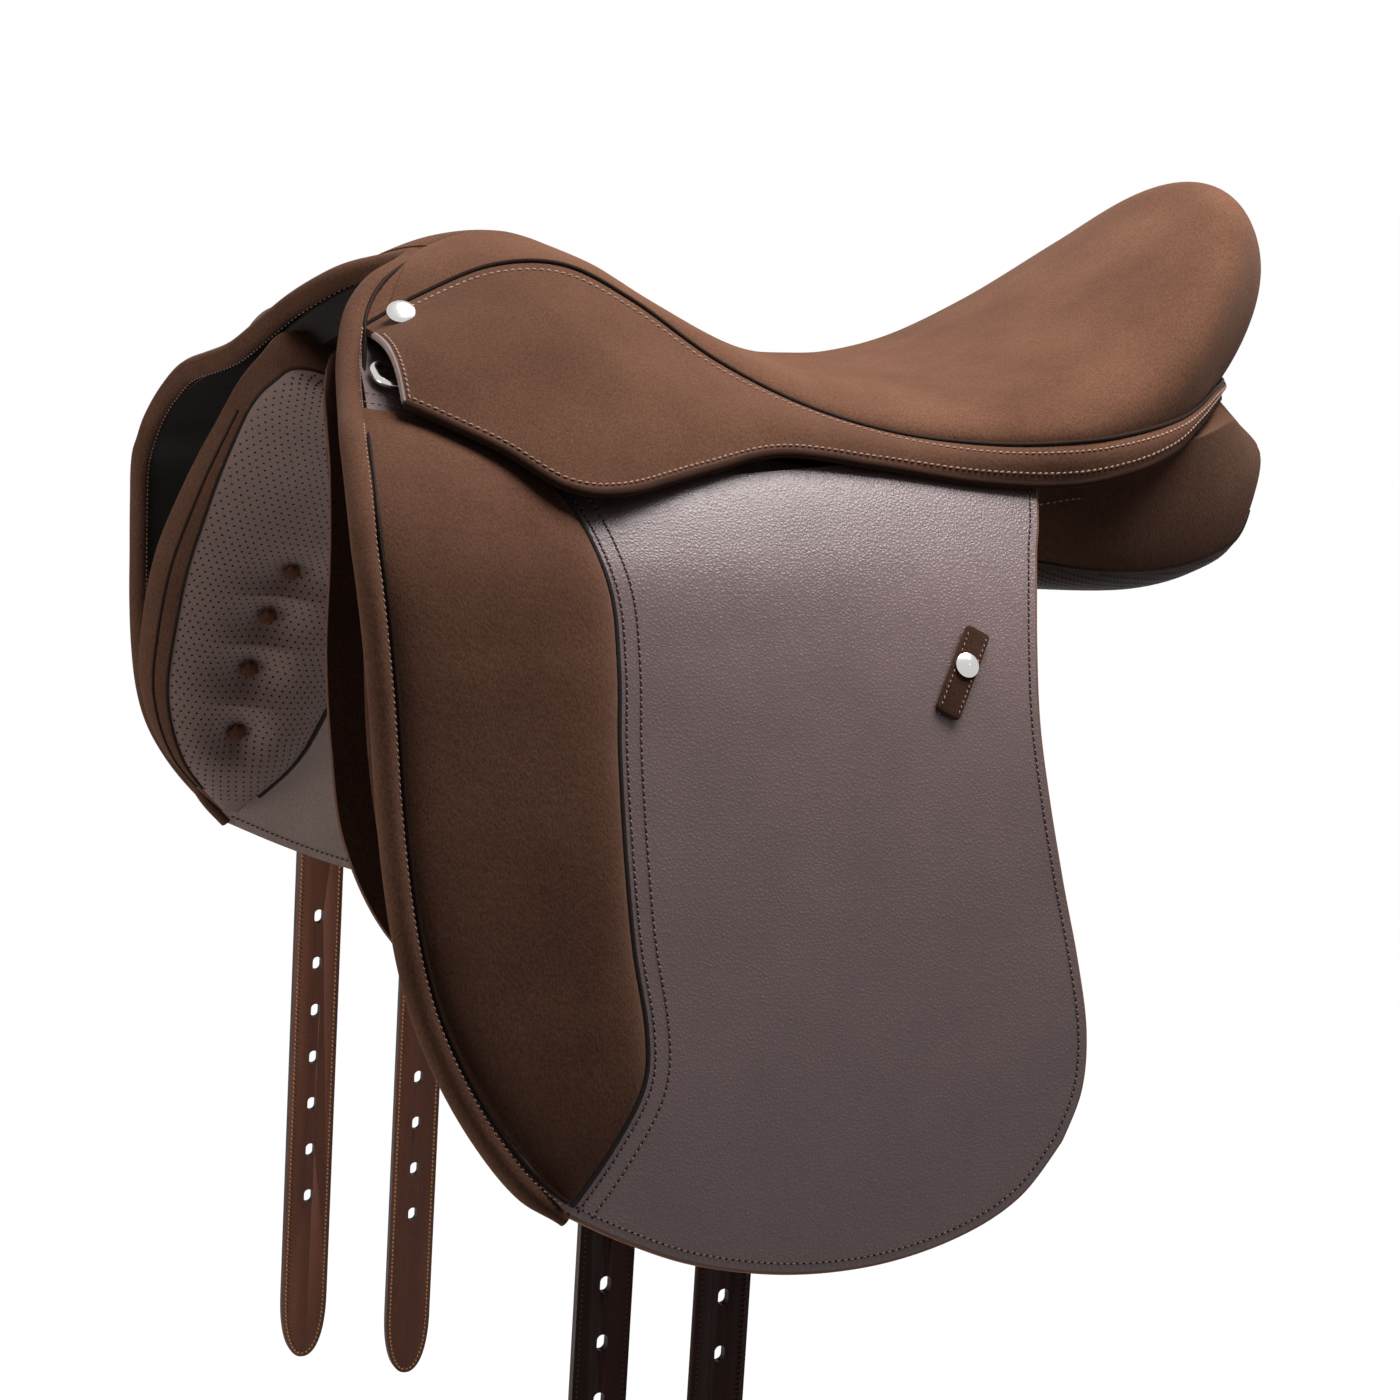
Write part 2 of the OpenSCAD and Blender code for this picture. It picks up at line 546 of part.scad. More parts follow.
module tree() {
    top = seat_layer(TREE_IN, 5, 24, 12, TREE_START, TREE_END, 0.76);
    color(POLYMER) shell(top, [for (r = top) [for (p = r) p - [0, 0, tree_t]]]);
}
module seat_webbing() {
    color(WEBBING) shell(
        seat_layer(WEB_IN, 3.4, 8, 8, 0.38, 0.56, 0.6267),
        seat_layer(WEB_IN + 1.6, 4.6, 8, 8, 0.38, 0.56, 0.6267)
    );
}
module seat_foam() {
    color(FOAM) shell(
        seat_layer(FOAM_IN, 0.3, SEAT_U - 2, SEAT_V, SEAT_START + SEAT_STEP, 1 - SEAT_STEP, 1),
        seat_layer(FOAM_IN + foam_t, 3, SEAT_U - 2, SEAT_V, SEAT_START + SEAT_STEP, 1 - SEAT_STEP, 1)
    );
}
module seat_cover() {
    color(SUEDE) shell(
        seat_layer(0, 0, SEAT_U, SEAT_V, SEAT_START, 1, 1),
        seat_layer(cover_t, 0, SEAT_U, SEAT_V, SEAT_START, 1, 1)
    );
}
module gullet_plate() {
    color(STEEL) union() {
        gullet_side();
        mirror([0, 1, 0]) gullet_side();
    }
}
module pommel_lining() {
    nv = 12;
    function under(v, back, in, down) = let (p = curve(RIM, 0.36 * abs(v)))
        place([p.x + back, p.y * in * sign(v), p.z - down]);
    function rear(v) = place([-138, 44 * v, 123 - 18 * v * v]);
    function row(v, i) = i == 0 ? under(v, 3.8, 0.97, 5)
        : mix(under(v, 12, 0.94, 18), rear(v), (i - 1) / 4);
    grid = [for (i = [0:5]) [for (j = [0:nv]) row(2 * j / nv - 1, i)]];
    color(BLACK) shell(grid, [for (r = grid) [for (p = r) p - [0.9, 0, 1.8]]]);
}
module pommel_roll() {
    n = 44;
    path = [for (i = [-n:n]) let (p = curve(RIM, abs(i) / n * 0.985))
        place([p.x, p.y * sign(i), p.z])];
    color(SUEDE) rod(path, roll_r, 8);
}

module skirt(side) {
    nu = 32;
    nv = 5;
    color(SUEDE) on_side(side) shell(
        [for (i = [0:nu]) [for (j = [0:nv]) place(skirt_point(i / nu, j / nv, 0))]],
        [for (i = [0:nu]) [for (j = [0:nv]) place(skirt_point(i / nu, j / nv, -skirt_t))]]
    );
}
module skirt_stud(side) {
    color(CHROME) on_side(side) at_stud() translate([0, 0, 0.3]) intersection() {
        cylinder(d = stud_d, h = 3);
        translate([0, 0, 2.6 - stud_d]) sphere(r = stud_d, $fn = 64);
    }
}
module flap_top(side) {
    color(LEATHER) on_side(side)
        sheet(FLAP_PROFILE, UPPER_TOP, UPPER_BOTTOM, UPPER_LEFT, UPPER_RIGHT, 20, 4, 0, flap_t);
}
module flap(side) {
    color(LEATHER) on_flap(side)
        sheet(FLAP_PROFILE, FLAP_TOP_EDGE, FLAP_BOTTOM, FLAP_LEFT, FLAP_RIGHT, 14, 14, 0, flap_t);
}
module flap_roll(side) {
    n = 22;
    path = [for (i = [0:n]) over(FLAP_PROFILE, curve(FLAP_FRONT, mix(0.02, 1, i / n)), -1)];
    color(SUEDE) on_flap(side) rod(path, roll_r, 8);
}
module knee_pad(side) {
    color(SUEDE) on_flap(side)
        pad(FLAP_PROFILE, PAD_TOP, PAD_BOTTOM, PAD_FRONT, PAD_SEAM, 6, 14, GAP, pad_t, 2);
}
module knee_pad_top(side) {
    color(SUEDE) on_side(side)
        pad(FLAP_PROFILE, PAD_UP_TOP, PAD_UP_BOTTOM, PAD_UP_LEFT, PAD_UP_RIGHT, 6, 4, GAP, pad_t * 0.6, 2);
}
module knee_block(side) {
    color(BLACK) on_side(side)
        pad(SWEAT_PROFILE, BLOCK_TOP, BLOCK_BOTTOM, BLOCK_LEFT, BLOCK_RIGHT, 6, 12, GAP, block_t, 4);
}
module sweat_flap(side) {
    color(LEATHER) on_side(side)
        sheet(SWEAT_PROFILE, SWEAT_TOP, SWEAT_BOTTOM, SWEAT_LEFT, SWEAT_RIGHT, 12, 12, 0, sweat_t);
}
module panel(side) {
    color(PERFORATED) on_side(side) panel_body();
}
module tufts(side) {
    color(STRAP) on_side(side) for (t = TUFTS) {
        u = t[0] / (PANEL_N - 1);
        d = panel_dir(u);
        translate(place(panel_face(u, t[1]) + 1.95 * d)) rotate([atan2(d.y, d.z), 0, 0]) {
            cylinder(d1 = tuft_d * 0.5, d2 = tuft_d, h = 1.3);
            translate([0, 0, 1.3]) cylinder(d = tuft_d, h = 1.4);
        }
    }
}
module girth_web_front(side) {
    color(WEBBING) on_side(side) web(FRONT_X, FRONT_IN);
}
module girth_web_rear(side) {
    color(WEBBING) on_side(side) web(REAR_X, REAR_IN);
}
module billet_front(side) {
    color(STRAP) on_side(side) strap(FRONT_X, FRONT_IN, FRONT_TIP);
}
module billet_rear(side) {
    color(STRAP) on_side(side) strap(REAR_X, REAR_IN, REAR_TIP);
}
module keeper(side) {
    color(SUEDE) on_flap(side) at_keeper() translate([0, 0, KEEPER_LIFT]) linear_extrude(KEEPER_T) {
        square([KEEPER_L - KEEPER_W, KEEPER_W], center = true);
        for (s = [-1, 1]) translate([s * (KEEPER_L - KEEPER_W) / 2, 0]) circle(d = KEEPER_W);
    }
}
module keeper_button(side) {
    color(CHROME) on_flap(side) at_keeper() translate([3, 0, KEEPER_LIFT + KEEPER_T + 0.3]) intersection() {
        cylinder(d = button_d, h = 3);
        translate([0, 0, 2.4 - button_d]) sphere(r = button_d, $fn = 64);
    }
}
module dee_ring(side) {
    r = 6;
    a = dee_l - 2 * dee_r;
    b = dee_h - 2 * dee_r;
    color(CHROME) on_side(side) at_dee() {
        for (s = [-1, 1]) translate([r - a, s * b / 2, 0]) rotate([0, 90, 0]) cylinder(r = dee_r, h = a - 2 * r);
        for (x = [0, -a]) translate([x, r - b / 2, 0]) rotate([-90, 0, 0]) cylinder(r = dee_r, h = b - 2 * r);
        for (q = [[-r, b / 2 - r, 0], [r - a, b / 2 - r, 90], [r - a, r - b / 2, 180], [-r, r - b / 2, 270]])
            translate([q.x, q.y, 0]) rotate([0, 0, q.z]) rotate_extrude(angle = 90) translate([r, 0]) circle(r = dee_r, $fn = 24);
    }
}
module dee_tab(side) {
    h = 7;
    color(LEATHER) on_side(side) at_dee() difference() {
        translate([-4.5, -h / 2, -3]) cube([16, h, 6.4]);
        translate([0, -h / 2 - 1, 0]) rotate([-90, 0, 0]) cylinder(r = dee_r + 0.4, h = h + 2);
    }
}
module stirrup_bar(side) {
    color(STEEL) on_side(side) at_bar() difference() {
        rotate([90, 0, 0]) translate([0, 0, -bar_h / 2]) linear_extrude(bar_h) polygon([
            [0, 0], [bar_l, 0], [bar_l, BAR_BASE], [12, BAR_BASE], [12, BAR_OUT - BAR_ARM],
            [bar_l - 8, BAR_OUT - BAR_ARM], [bar_l - 8, BAR_OUT - BAR_ARM / 2],
            [bar_l - 8 - TONGUE, BAR_OUT - BAR_ARM / 2], [bar_l - 8 - TONGUE, BAR_OUT],
            [6, BAR_OUT], [0, BAR_OUT - 6]
        ]);
        for (x = RIVETS) translate([x, 0, -1]) cylinder(r = RIVET_R + 0.2, h = BAR_BASE + 2);
        translate([bar_l - 8 - TONGUE / 2, 0, 0]) cylinder(r = 1.7, h = 30);
    }
}
module stirrup_rivets(side) {
    color(CHROME) on_side(side) at_bar() for (x = RIVETS) translate([x, 0, 0.2]) {
        cylinder(r = RIVET_R, h = BAR_BASE);
        translate([0, 0, BAR_BASE]) cylinder(r = RIVET_R + 1.6, h = 1.4);
    }
}
module stirrup_catch(side) {
    x = bar_l - 8 - TONGUE / 2;
    color(STEEL) on_side(side) at_bar() translate([x, 0, 0]) {
        translate([0, 0, BAR_OUT - BAR_ARM / 2 + 0.4]) linear_extrude(BAR_ARM / 2 - 0.4) {
            circle(r = 4.2);
            translate([0, -4.2]) square([CATCH_L - 4.2, 8.4]);
            translate([CATCH_L - 4.2, 0]) circle(r = 4.2);
        }
        translate([0, 0, BAR_OUT - BAR_ARM + 0.2]) cylinder(r = 1.4, h = BAR_ARM / 2 + 0.4);
    }
}

tree();
seat_webbing();
seat_foam();
seat_cover();
gullet_plate();
pommel_lining();
pommel_roll();
skirt("left");  // skirt_left
skirt("right");  // skirt_right
skirt_stud("left");  // skirt_stud_left
skirt_stud("right");  // skirt_stud_right
flap_top("left");  // flap_top_left
flap_top("right");  // flap_top_right
flap("left");  // flap_left
flap("right");  // flap_right
flap_roll("left");  // flap_roll_left
flap_roll("right");  // flap_roll_right
knee_pad("left");  // knee_pad_left
knee_pad("right");  // knee_pad_right
knee_pad_top("left");  // knee_pad_top_left
knee_pad_top("right");  // knee_pad_top_right
knee_block("left");  // knee_block_left
knee_block("right");  // knee_block_right
sweat_flap("left");  // sweat_flap_left
sweat_flap("right");  // sweat_flap_right
panel("left");  // panel_left
panel("right");  // panel_right
tufts("left");  // tufts_left
tufts("right");  // tufts_right
girth_web_front("left");  // girth_web_front_left
girth_web_front("right");  // girth_web_front_right
girth_web_rear("left");  // girth_web_rear_left
girth_web_rear("right");  // girth_web_rear_right
billet_front("left");  // billet_front_left
billet_front("right");  // billet_front_right
billet_rear("left");  // billet_rear_left
billet_rear("right");  // billet_rear_right
keeper("left");  // keeper_left
keeper("right");  // keeper_right
keeper_button("left");  // keeper_button_left
keeper_button("right");  // keeper_button_right
dee_ring("left");  // dee_ring_left
dee_ring("right");  // dee_ring_right
dee_tab("left");  // dee_tab_left
dee_tab("right");  // dee_tab_right
stirrup_bar("left");  // stirrup_bar_left
stirrup_bar("right");  // stirrup_bar_right
stirrup_rivets("left");  // stirrup_rivets_left
stirrup_rivets("right");  // stirrup_rivets_right
stirrup_catch("left");  // stirrup_catch_left
stirrup_catch("right");  // stirrup_catch_right
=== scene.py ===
# Dressage saddle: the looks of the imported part. Design values are in millimetres, as in the part's source.
# Left-hand design points are [x, half-width, z] with the half-width positive; place() brings them to the frame.
import math

import bmesh
import bpy
import numpy as np
from mathutils import Matrix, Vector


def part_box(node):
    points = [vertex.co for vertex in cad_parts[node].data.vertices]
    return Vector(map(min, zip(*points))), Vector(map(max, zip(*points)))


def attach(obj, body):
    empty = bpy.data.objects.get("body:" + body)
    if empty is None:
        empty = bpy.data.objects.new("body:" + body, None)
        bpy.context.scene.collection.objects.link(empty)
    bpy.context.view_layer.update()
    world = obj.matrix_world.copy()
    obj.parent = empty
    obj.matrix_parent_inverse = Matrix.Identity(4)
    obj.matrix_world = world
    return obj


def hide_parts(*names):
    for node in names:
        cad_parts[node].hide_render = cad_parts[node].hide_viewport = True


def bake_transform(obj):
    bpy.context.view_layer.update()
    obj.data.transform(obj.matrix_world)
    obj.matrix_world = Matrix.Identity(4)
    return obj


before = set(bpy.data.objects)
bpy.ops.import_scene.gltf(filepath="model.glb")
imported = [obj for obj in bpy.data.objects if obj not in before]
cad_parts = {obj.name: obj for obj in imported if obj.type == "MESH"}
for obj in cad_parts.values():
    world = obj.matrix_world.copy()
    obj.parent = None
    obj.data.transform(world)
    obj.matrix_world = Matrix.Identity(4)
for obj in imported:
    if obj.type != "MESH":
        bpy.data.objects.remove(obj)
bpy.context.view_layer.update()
MM = 0.001
SIDES = ("left", "right")
FLIP = {"left": np.array([1, 1, 1]), "right": np.array([1, -1, 1])}
OUTWARD = {"left": -1, "right": 1}

# Camera, fitted to the photograph
IMAGE_PX = 1400
FOCAL_PX = 3154
SENSOR_MM = 36
CAM_AZIMUTH = -25
CAM_ELEVATION = 11
CAM_ROLL = 3.5
CAM_DEPTH = 1.5
DIP_POINT = np.array([0, 0, 0.110])
DIP_PX = (800, 352)


def linked(name, data):
    obj = bpy.data.objects.new(name, data)
    bpy.context.collection.objects.link(obj)
    return obj


def aim(obj, spot, right, up, back):
    turn = np.column_stack([right, up, back])
    obj.matrix_world = Matrix.Translation(spot) @ Matrix(turn.tolist()).to_4x4()


def make_camera():
    a, e, r = (math.radians(v) for v in (CAM_AZIMUTH, CAM_ELEVATION, CAM_ROLL))
    back = np.array([math.sin(a) * math.cos(e), -math.cos(a) * math.cos(e), math.sin(e)])
    level = np.array([math.cos(a), math.sin(a), 0])
    rise = np.cross(back, level)
    right = level * math.cos(r) + rise * math.sin(r)
    up = rise * math.cos(r) - level * math.sin(r)
    dx = (DIP_PX[0] - IMAGE_PX / 2) / FOCAL_PX * CAM_DEPTH
    dy = -(DIP_PX[1] - IMAGE_PX / 2) / FOCAL_PX * CAM_DEPTH
    data = bpy.data.cameras.new("camera")
    data.sensor_width = SENSOR_MM
    data.lens = SENSOR_MM * FOCAL_PX / IMAGE_PX
    camera = linked("camera", data)
    aim(camera, DIP_POINT - (dx * right + dy * up - CAM_DEPTH * back), right, up, back)
    bpy.context.scene.camera = camera


make_camera()


# Curves and surfaces


def mix(a, b, t):
    return a + (b - a) * t


def smooth(a, b, v):
    t = np.clip((np.asarray(v, float) - a) / (b - a), 0, 1)
    return t * t * (3 - 2 * t)


def unit(v):
    return v / np.maximum(np.linalg.norm(v, axis=-1, keepdims=True), 1e-9)


def curve(points, t):
    """Smooth curve through points, t from 0 to 1."""
    p = np.asarray(points, float)
    p = p.reshape(len(p), -1)
    s = np.clip(np.asarray(t, float), 0, 1) * (len(p) - 1)
    i = np.minimum(s.astype(int), len(p) - 2)
    f = (s - i)[..., None]
    a, b = p[np.maximum(i - 1, 0)], p[i]
    c, d = p[i + 1], p[np.minimum(i + 2, len(p) - 1)]
    return b + 0.5 * f * (c - a + f * (2 * a - 5 * b + 4 * c - d + f * (3 * (b - c) + d - a)))


def patch(top, bottom, left, right, u, v):
    """Points inside four edge curves."""
    across = mix(curve(top, u), curve(bottom, u), v[..., None])
    down = mix(curve(left, v), curve(right, v), u[..., None])
    upper = mix(np.array(top[0], float), np.array(top[-1], float), u[..., None])
    lower = mix(np.array(bottom[0], float), np.array(bottom[-1], float), u[..., None])
    return across + down - mix(upper, lower, v[..., None])


def lattice(nu, nv):
    return np.meshgrid(np.linspace(0, 1, nu + 1), np.linspace(0, 1, nv + 1), indexing="ij")


def place(p):
    """Left-hand design point to the frame."""
    return np.stack([p[..., 0], -p[..., 1], p[..., 2]], -1)


def along(p):
    p = np.asarray(p, float)
    return unit(np.concatenate([p[1:], p[-1:]]) - np.concatenate([p[:1], p[:-1]]))


def left_normal(p):
    t = along(p)
    return np.stack([-t[:, 1], t[:, 0]], 1)


def run_length(path):
    return np.concatenate([[0], np.cumsum(np.linalg.norm(np.diff(path, axis=0), axis=1))])


def even(path, step):
    """Path resampled at an even step."""
    length = run_length(path)
    count = max(int(length[-1] / step), 2)
    at = np.linspace(0, length[-1], count + 1)
    return np.stack([np.interp(at, length, path[:, k]) for k in range(path.shape[1])], 1)


# Seat: profile on the mid-plane as [x, z], sewn edge as [x, half-width, z]
SEAT_MID = [
    [-188, 151.5], [-170, 160], [-150, 161], [-122, 152], [-90, 134], [-52, 117],
    [-18, 109], [15, 107.5], [52, 110], [92, 122], [135, 147], [179, 179],
    [206, 198], [227, 194], [241, 172], [238, 142], [230, 104],
]
SEAT_EDGE = [
    [-229.5, 48, 121.5], [-208.5, 45, 135.5], [-176, 46, 149.3], [-145, 53, 151], [-115, 63, 137],
    [-80, 79, 113], [-42, 96, 95], [-2, 111, 85], [42, 121, 82], [84, 124, 84],
    [116, 119, 88], [143, 109, 93], [163, 95, 98], [181, 78, 103], [197, 60, 105],
    [210, 42, 105], [222, 22, 104],
]
EDGE_NORMAL = np.column_stack([left_normal(np.array(SEAT_EDGE)[:, :2]), np.zeros(len(SEAT_EDGE))])
SEAT_START = 0.02
SEAT_T = 5
SEAT_ACROSS = 72
HEAD_SPAN = 0.2
HEAD_SWEEP = 0.65
HEAD_ARCH = 1.8


def seat_layer(depth, sink, nu, nv, start, end, reach):
    """Grid at a depth under the seat's surface, over a part of its length and width."""
    mid = np.array(SEAT_MID) - depth * left_normal(SEAT_MID)
    edge = np.array(SEAT_EDGE) - depth * EDGE_NORMAL - [0, 0, sink]
    t, v = np.meshgrid(np.linspace(start, end, nu + 1), np.linspace(-reach, reach, nv + 1), indexing="ij")
    c, e = curve(mid, t), curve(edge, t)
    s, k = np.sin(np.pi / 2 * v), np.cos(np.pi / 2 * v)
    head = np.clip(1 - t / HEAD_SPAN, 0, 1)
    x = mix(c[..., 0], e[..., 0], mix(1 - k, np.abs(s) ** HEAD_SWEEP, head))
    z = mix(e[..., 2], c[..., 1], mix(k, 1 - np.abs(s) ** HEAD_ARCH, head))
    return place(np.stack([x, e[..., 1] * s, z], -1))


# Hanging surfaces: half-widths at even steps down from the top
PROFILE_TOP = 120
PROFILE_STEP = 40
FLAP_PROFILE = [70, 112, 144, 170, 190, 206, 218, 228, 236, 242, 246]
SWEAT_PROFILE = [36, 78, 113, 138, 156, 169.5, 180, 186.5, 190, 191, 191]
# The flap stands further out at its front, over the knee block
FLAP_SHOULDER = [-23, 19, 28, 18, 8, 2, 0, 0, 0, 0, 0]
SHOULDER_X = (-268, 55)
FOLD_Z = 48


def width_at(profile, x, z):
    t = (PROFILE_TOP - z) / PROFILE_STEP / (len(profile) - 1)
    width = curve(profile, t)[..., 0]
    if profile is FLAP_PROFILE:
        front, rear = SHOULDER_X
        width = width + (rear - x) / (rear - front) * curve(FLAP_SHOULDER, t)[..., 0]
    return width


def out_normal(profile, x, z):
    slope = width_at(profile, x, z - 1) - width_at(profile, x, z + 1)
    return unit(np.stack([np.zeros_like(slope), np.full_like(slope, 2.0), slope], -1))


def over(profile, p, h):
    """Point at a height over a hanging surface, from design points [x, z]."""
    x, z = p[..., 0], p[..., 1]
    base = np.stack([x, width_at(profile, x, z), z], -1)
    return place(base + np.asarray(h, float)[..., None] * out_normal(profile, x, z))


def facing(profile, p):
    return place(out_normal(profile, p[..., 0], p[..., 1]))


FOLD_W, *FOLD_ENDS = (float(width_at(FLAP_PROFILE, x, np.array(FOLD_Z))) for x in (0.0, *SHOULDER_X))
FOLD_AXIS = unit(np.array([SHOULDER_X[1] - SHOULDER_X[0], FOLD_ENDS[1] - FOLD_ENDS[0], 0]))
RIM = [
    [-195, 0, 147.5], [-206, 12, 143.3], [-219, 22, 138.5], [-230, 32, 130.5], [-238, 45, 121.4],
    [-246, 65, 107.6], [-251.7, 85, 96.3], [-257.3, 105, 89.6], [-263, 125, 83], [-267, 145, 69.5],
    [-269.2, 157.5, 58], [-270.3, 165.5, 49.5],
]
FLAP_FRONT = [
    [-270.5, 47.7], [-270.5, 28], [-269.3, 5], [-268, -24], [-266.9, -55], [-264.7, -85.7], [-261, -113],
    [-255, -137], [-245.5, -160], [-233, -182], [-217, -203], [-198, -219],
]
ROLL_R = 5.3
ROLL_ROOM = 3
FLAP_LOW_LEFT = (np.array(FLAP_FRONT) + ROLL_ROOM * left_normal(FLAP_FRONT)).tolist()
FLAP_LEFT = [[-239, 117], [-244, 104], [-250.5, 92], [-258.5, 81], [-266, 66]] + FLAP_LOW_LEFT
FLAP_BOTTOM = [FLAP_LOW_LEFT[-1]] + [
    [-171, -229.5], [-139, -242], [-97, -250], [-55, -250], [-17, -242], [12, -228], [33, -206],
]
FLAP_RIGHT = [
    [64, 72], [60, 62], [55, 47.7], [49, 33], [40, 1], [35, -31], [35, -64], [38, -97], [43, -130],
    [46, -160], [43, -185], [33, -206],
]
FLAP_TOP = [
    [-239, 117], [-217, 115], [-192, 98], [-165, 77], [-138, 70], [-100, 69], [-60, 71],
    [-15, 74], [25, 75], [64, 72],
]
FLAP_T = 4.5
PAD_RIGHT = [
    [-184.6, 67], [-177, 57], [-170, 42], [-165.3, 20.7], [-165.8, -8.2], [-167.7, -36], [-167.8, -75.7],
    [-166, -114], [-162, -146], [-164, -168], [-178, -191], [-196, -213],
]
PAD_LEFT = [
    [-256, 92], [-264, 77], [-269, 60], [-269, 38], [-267.5, 13], [-265.6, -20], [-264.4, -52],
    [-262, -83.5], [-257.5, -111.5], [-250.5, -136], [-239, -159.5], [-224, -182], [-203, -207],
]
PAD_TOP = [[-256, 92], [-225, 87], [-201, 77], [-184.6, 67]]
PAD_BOTTOM = [[-203, -207], [-199.5, -210], [-196, -213]]
PAD_EDGES = (PAD_TOP, PAD_BOTTOM, PAD_LEFT, PAD_RIGHT)
SWEAT_LEFT = [
    [-230, 90], [-243, 60], [-251, 27], [-256, -6], [-258, -42], [-255, -80], [-246, -113],
    [-234, -138], [-220, -154],
]
SWEAT_BOTTOM = [
    [-220, -154], [-190, -168], [-160, -180], [-115, -194], [-65, -198], [-25, -190], [5, -172],
]
SWEAT_RIGHT = [[30, 62], [22, 20], [15, -30], [12, -80], [13, -130], [5, -172]]
SWEAT_TOP = [[-230, 90], [-180, 84], [-100, 76], [-30, 66], [30, 62]]
SWEAT_T = 3.5
BLOCK_LEFT = [[-244, 46], [-252, 10], [-257, -30], [-255, -70], [-243, -104], [-226, -130]]
BLOCK_RIGHT = [[-206, 40], [-207, 5], [-210, -30], [-209, -70], [-206, -104], [-206, -130]]
BLOCK_TOP = [BLOCK_LEFT[0], [-225, 45], BLOCK_RIGHT[0]]
BLOCK_BOTTOM = [BLOCK_LEFT[5], [-216, -133], BLOCK_RIGHT[5]]
BLOCK_T = 24
BLOCK_RIM = 4

# Skirt: lower edge as [x, half-width, z], one point to each point of the seat's edge
SKIRT_LOW = [
    [-239, 122, 97], [-223.3, 133, 90], [-203.2, 146, 80.6], [-181.5, 161, 67.8], [-154.3, 157.5, 65.4],
    [-113, 142, 72.2], [-71, 131.5, 79.1], [-22.3, 130, 73.9], [27, 131, 67.4], [72, 131, 66],
    [106, 129, 71], [134, 121, 79], [155, 107, 88], [174, 90, 95], [191, 70, 98],
    [206, 50, 98], [220, 26, 97],
]
SEAM_OUT = 0.9
SEAM_DROP = 0.6
CORNER_FORWARD = 5
SKIRT_SEAM = np.array(SEAT_EDGE) + SEAM_OUT * EDGE_NORMAL - [0, 0, SEAM_DROP]
SKIRT_SEAM[0] -= [CORNER_FORWARD, 0, 0]
SKIRT_T = 4
SKIRT_OUT = 0.72
SKIRT_UP = 0.69
SKIRT_BULGE = (9, 3)
SKIRT_BULGE_AT = (0.25, 0.5)


def skirt_point(u, v, h):
    n = unit(curve(EDGE_NORMAL, u))
    n = np.stack([SKIRT_OUT * n[..., 0], SKIRT_OUT * n[..., 1], np.full_like(u, SKIRT_UP)], -1)
    bulge = mix(*SKIRT_BULGE, smooth(*SKIRT_BULGE_AT, u)) * np.sin(np.pi * v)
    p = mix(curve(SKIRT_SEAM, u), curve(SKIRT_LOW, u), v[..., None])
    return place(p + (bulge + h)[..., None] * n)


# Panel ribbon: inner edge, outer edge, depth of the filling and its direction in degrees.
# Places along it are counted in spans between the points, from the tip of the lobe to the rear.
PANEL_IN = [
    [-224, 185, -147], [-256, 180, -114], [-272, 170, -78], [-275, 157, -42], [-273.5, 140, -6],
    [-267, 121, 28], [-259.5, 93, 62], [-251.5, 68, 96], [-236, 51, 111], [-178, 42, 95],
    [-112, 36, 84], [-55, 34, 76], [10, 34, 72], [80, 34, 72], [140, 36, 77], [182, 42, 84],
    [205, 60, 80],
]
PANEL_OUT = [
    [-215, 185, -148], [-188, 182, -119], [-174, 172, -88], [-163, 160, -54], [-148, 147, -21],
    [-126, 134, 6], [-100, 122, 28], [-68, 112, 48], [-34, 88, 62], [2, 87, 66],
    [38, 94, 70], [76, 114, 74], [110, 116, 77], [142, 110, 81], [173, 99, 84], [196, 85, 84],
    [209, 73, 80],
]
PANEL_DEPTH = [5, 16, 19, 20, 21, 23, 25, 28, 33, 40, 47, 56, 64, 70, 72, 66, 34]
PANEL_TURN = [15, 17, 20, 25, 30, 36, 42, 48, 56, 66, 76, 85, 90, 90, 90, 90, 90]
PANEL_SPANS = len(PANEL_DEPTH) - 1
PANEL_CLEAR = SWEAT_T + 1
PANEL_MIN = 1.2
HANG_TO = (7, 10)
FULLNESS = (2.6, 5)
FULLNESS_AT = (6, 11)
FRONT_ROUND = 0.9
REAR_ROUND = 1.4
REAR_POWER = 2.4
REAR_RISE = (17, 7)
REAR_RISE_AT = (13, 15.5)
REAR_TURN_AT = (12.6, 16)
# Rounding of the rear end: place of its top, reach and rate to the rear, return towards the bottom
REAR_BOW = (-7, 17, 1.7, 12.6)
REAR_LEAN = 0.16
REAR_LEAN_AT = (13, 16)
TUFTS = [[1.55, 0.5], [2.6, 0.5], [3.45, 0.5], [4.2, 0.5]]
TUFT_DEPTH = 8.5
TUFT_REACH = (0.36, 0.14)


def panel_back(u, v):
    p = mix(curve(PANEL_IN, u), curve(PANEL_OUT, u), v[..., None])
    x, i = p[..., 0], u * PANEL_SPANS
    n = out_normal(SWEAT_PROFILE, x, p[..., 2])
    w = width_at(SWEAT_PROFILE, x, p[..., 2]) - PANEL_CLEAR / n[..., 1]
    width = mix(p[..., 1], w, 1 - smooth(*HANG_TO, i))
    rise = smooth(*REAR_RISE_AT, i) * mix(*REAR_RISE, v)
    return np.stack([x + rear_turn(u, 0.0), width, p[..., 2] + rise], -1)


def rear_turn(u, q):
    """The rear end is rounded from top to bottom; q is the share of the depth."""
    top, reach, rate, back = REAR_BOW
    bow = top + reach * np.sin(np.pi / 2 * np.minimum(rate * q, 1)) - back * q * q
    return smooth(*REAR_TURN_AT, u * PANEL_SPANS) * bow


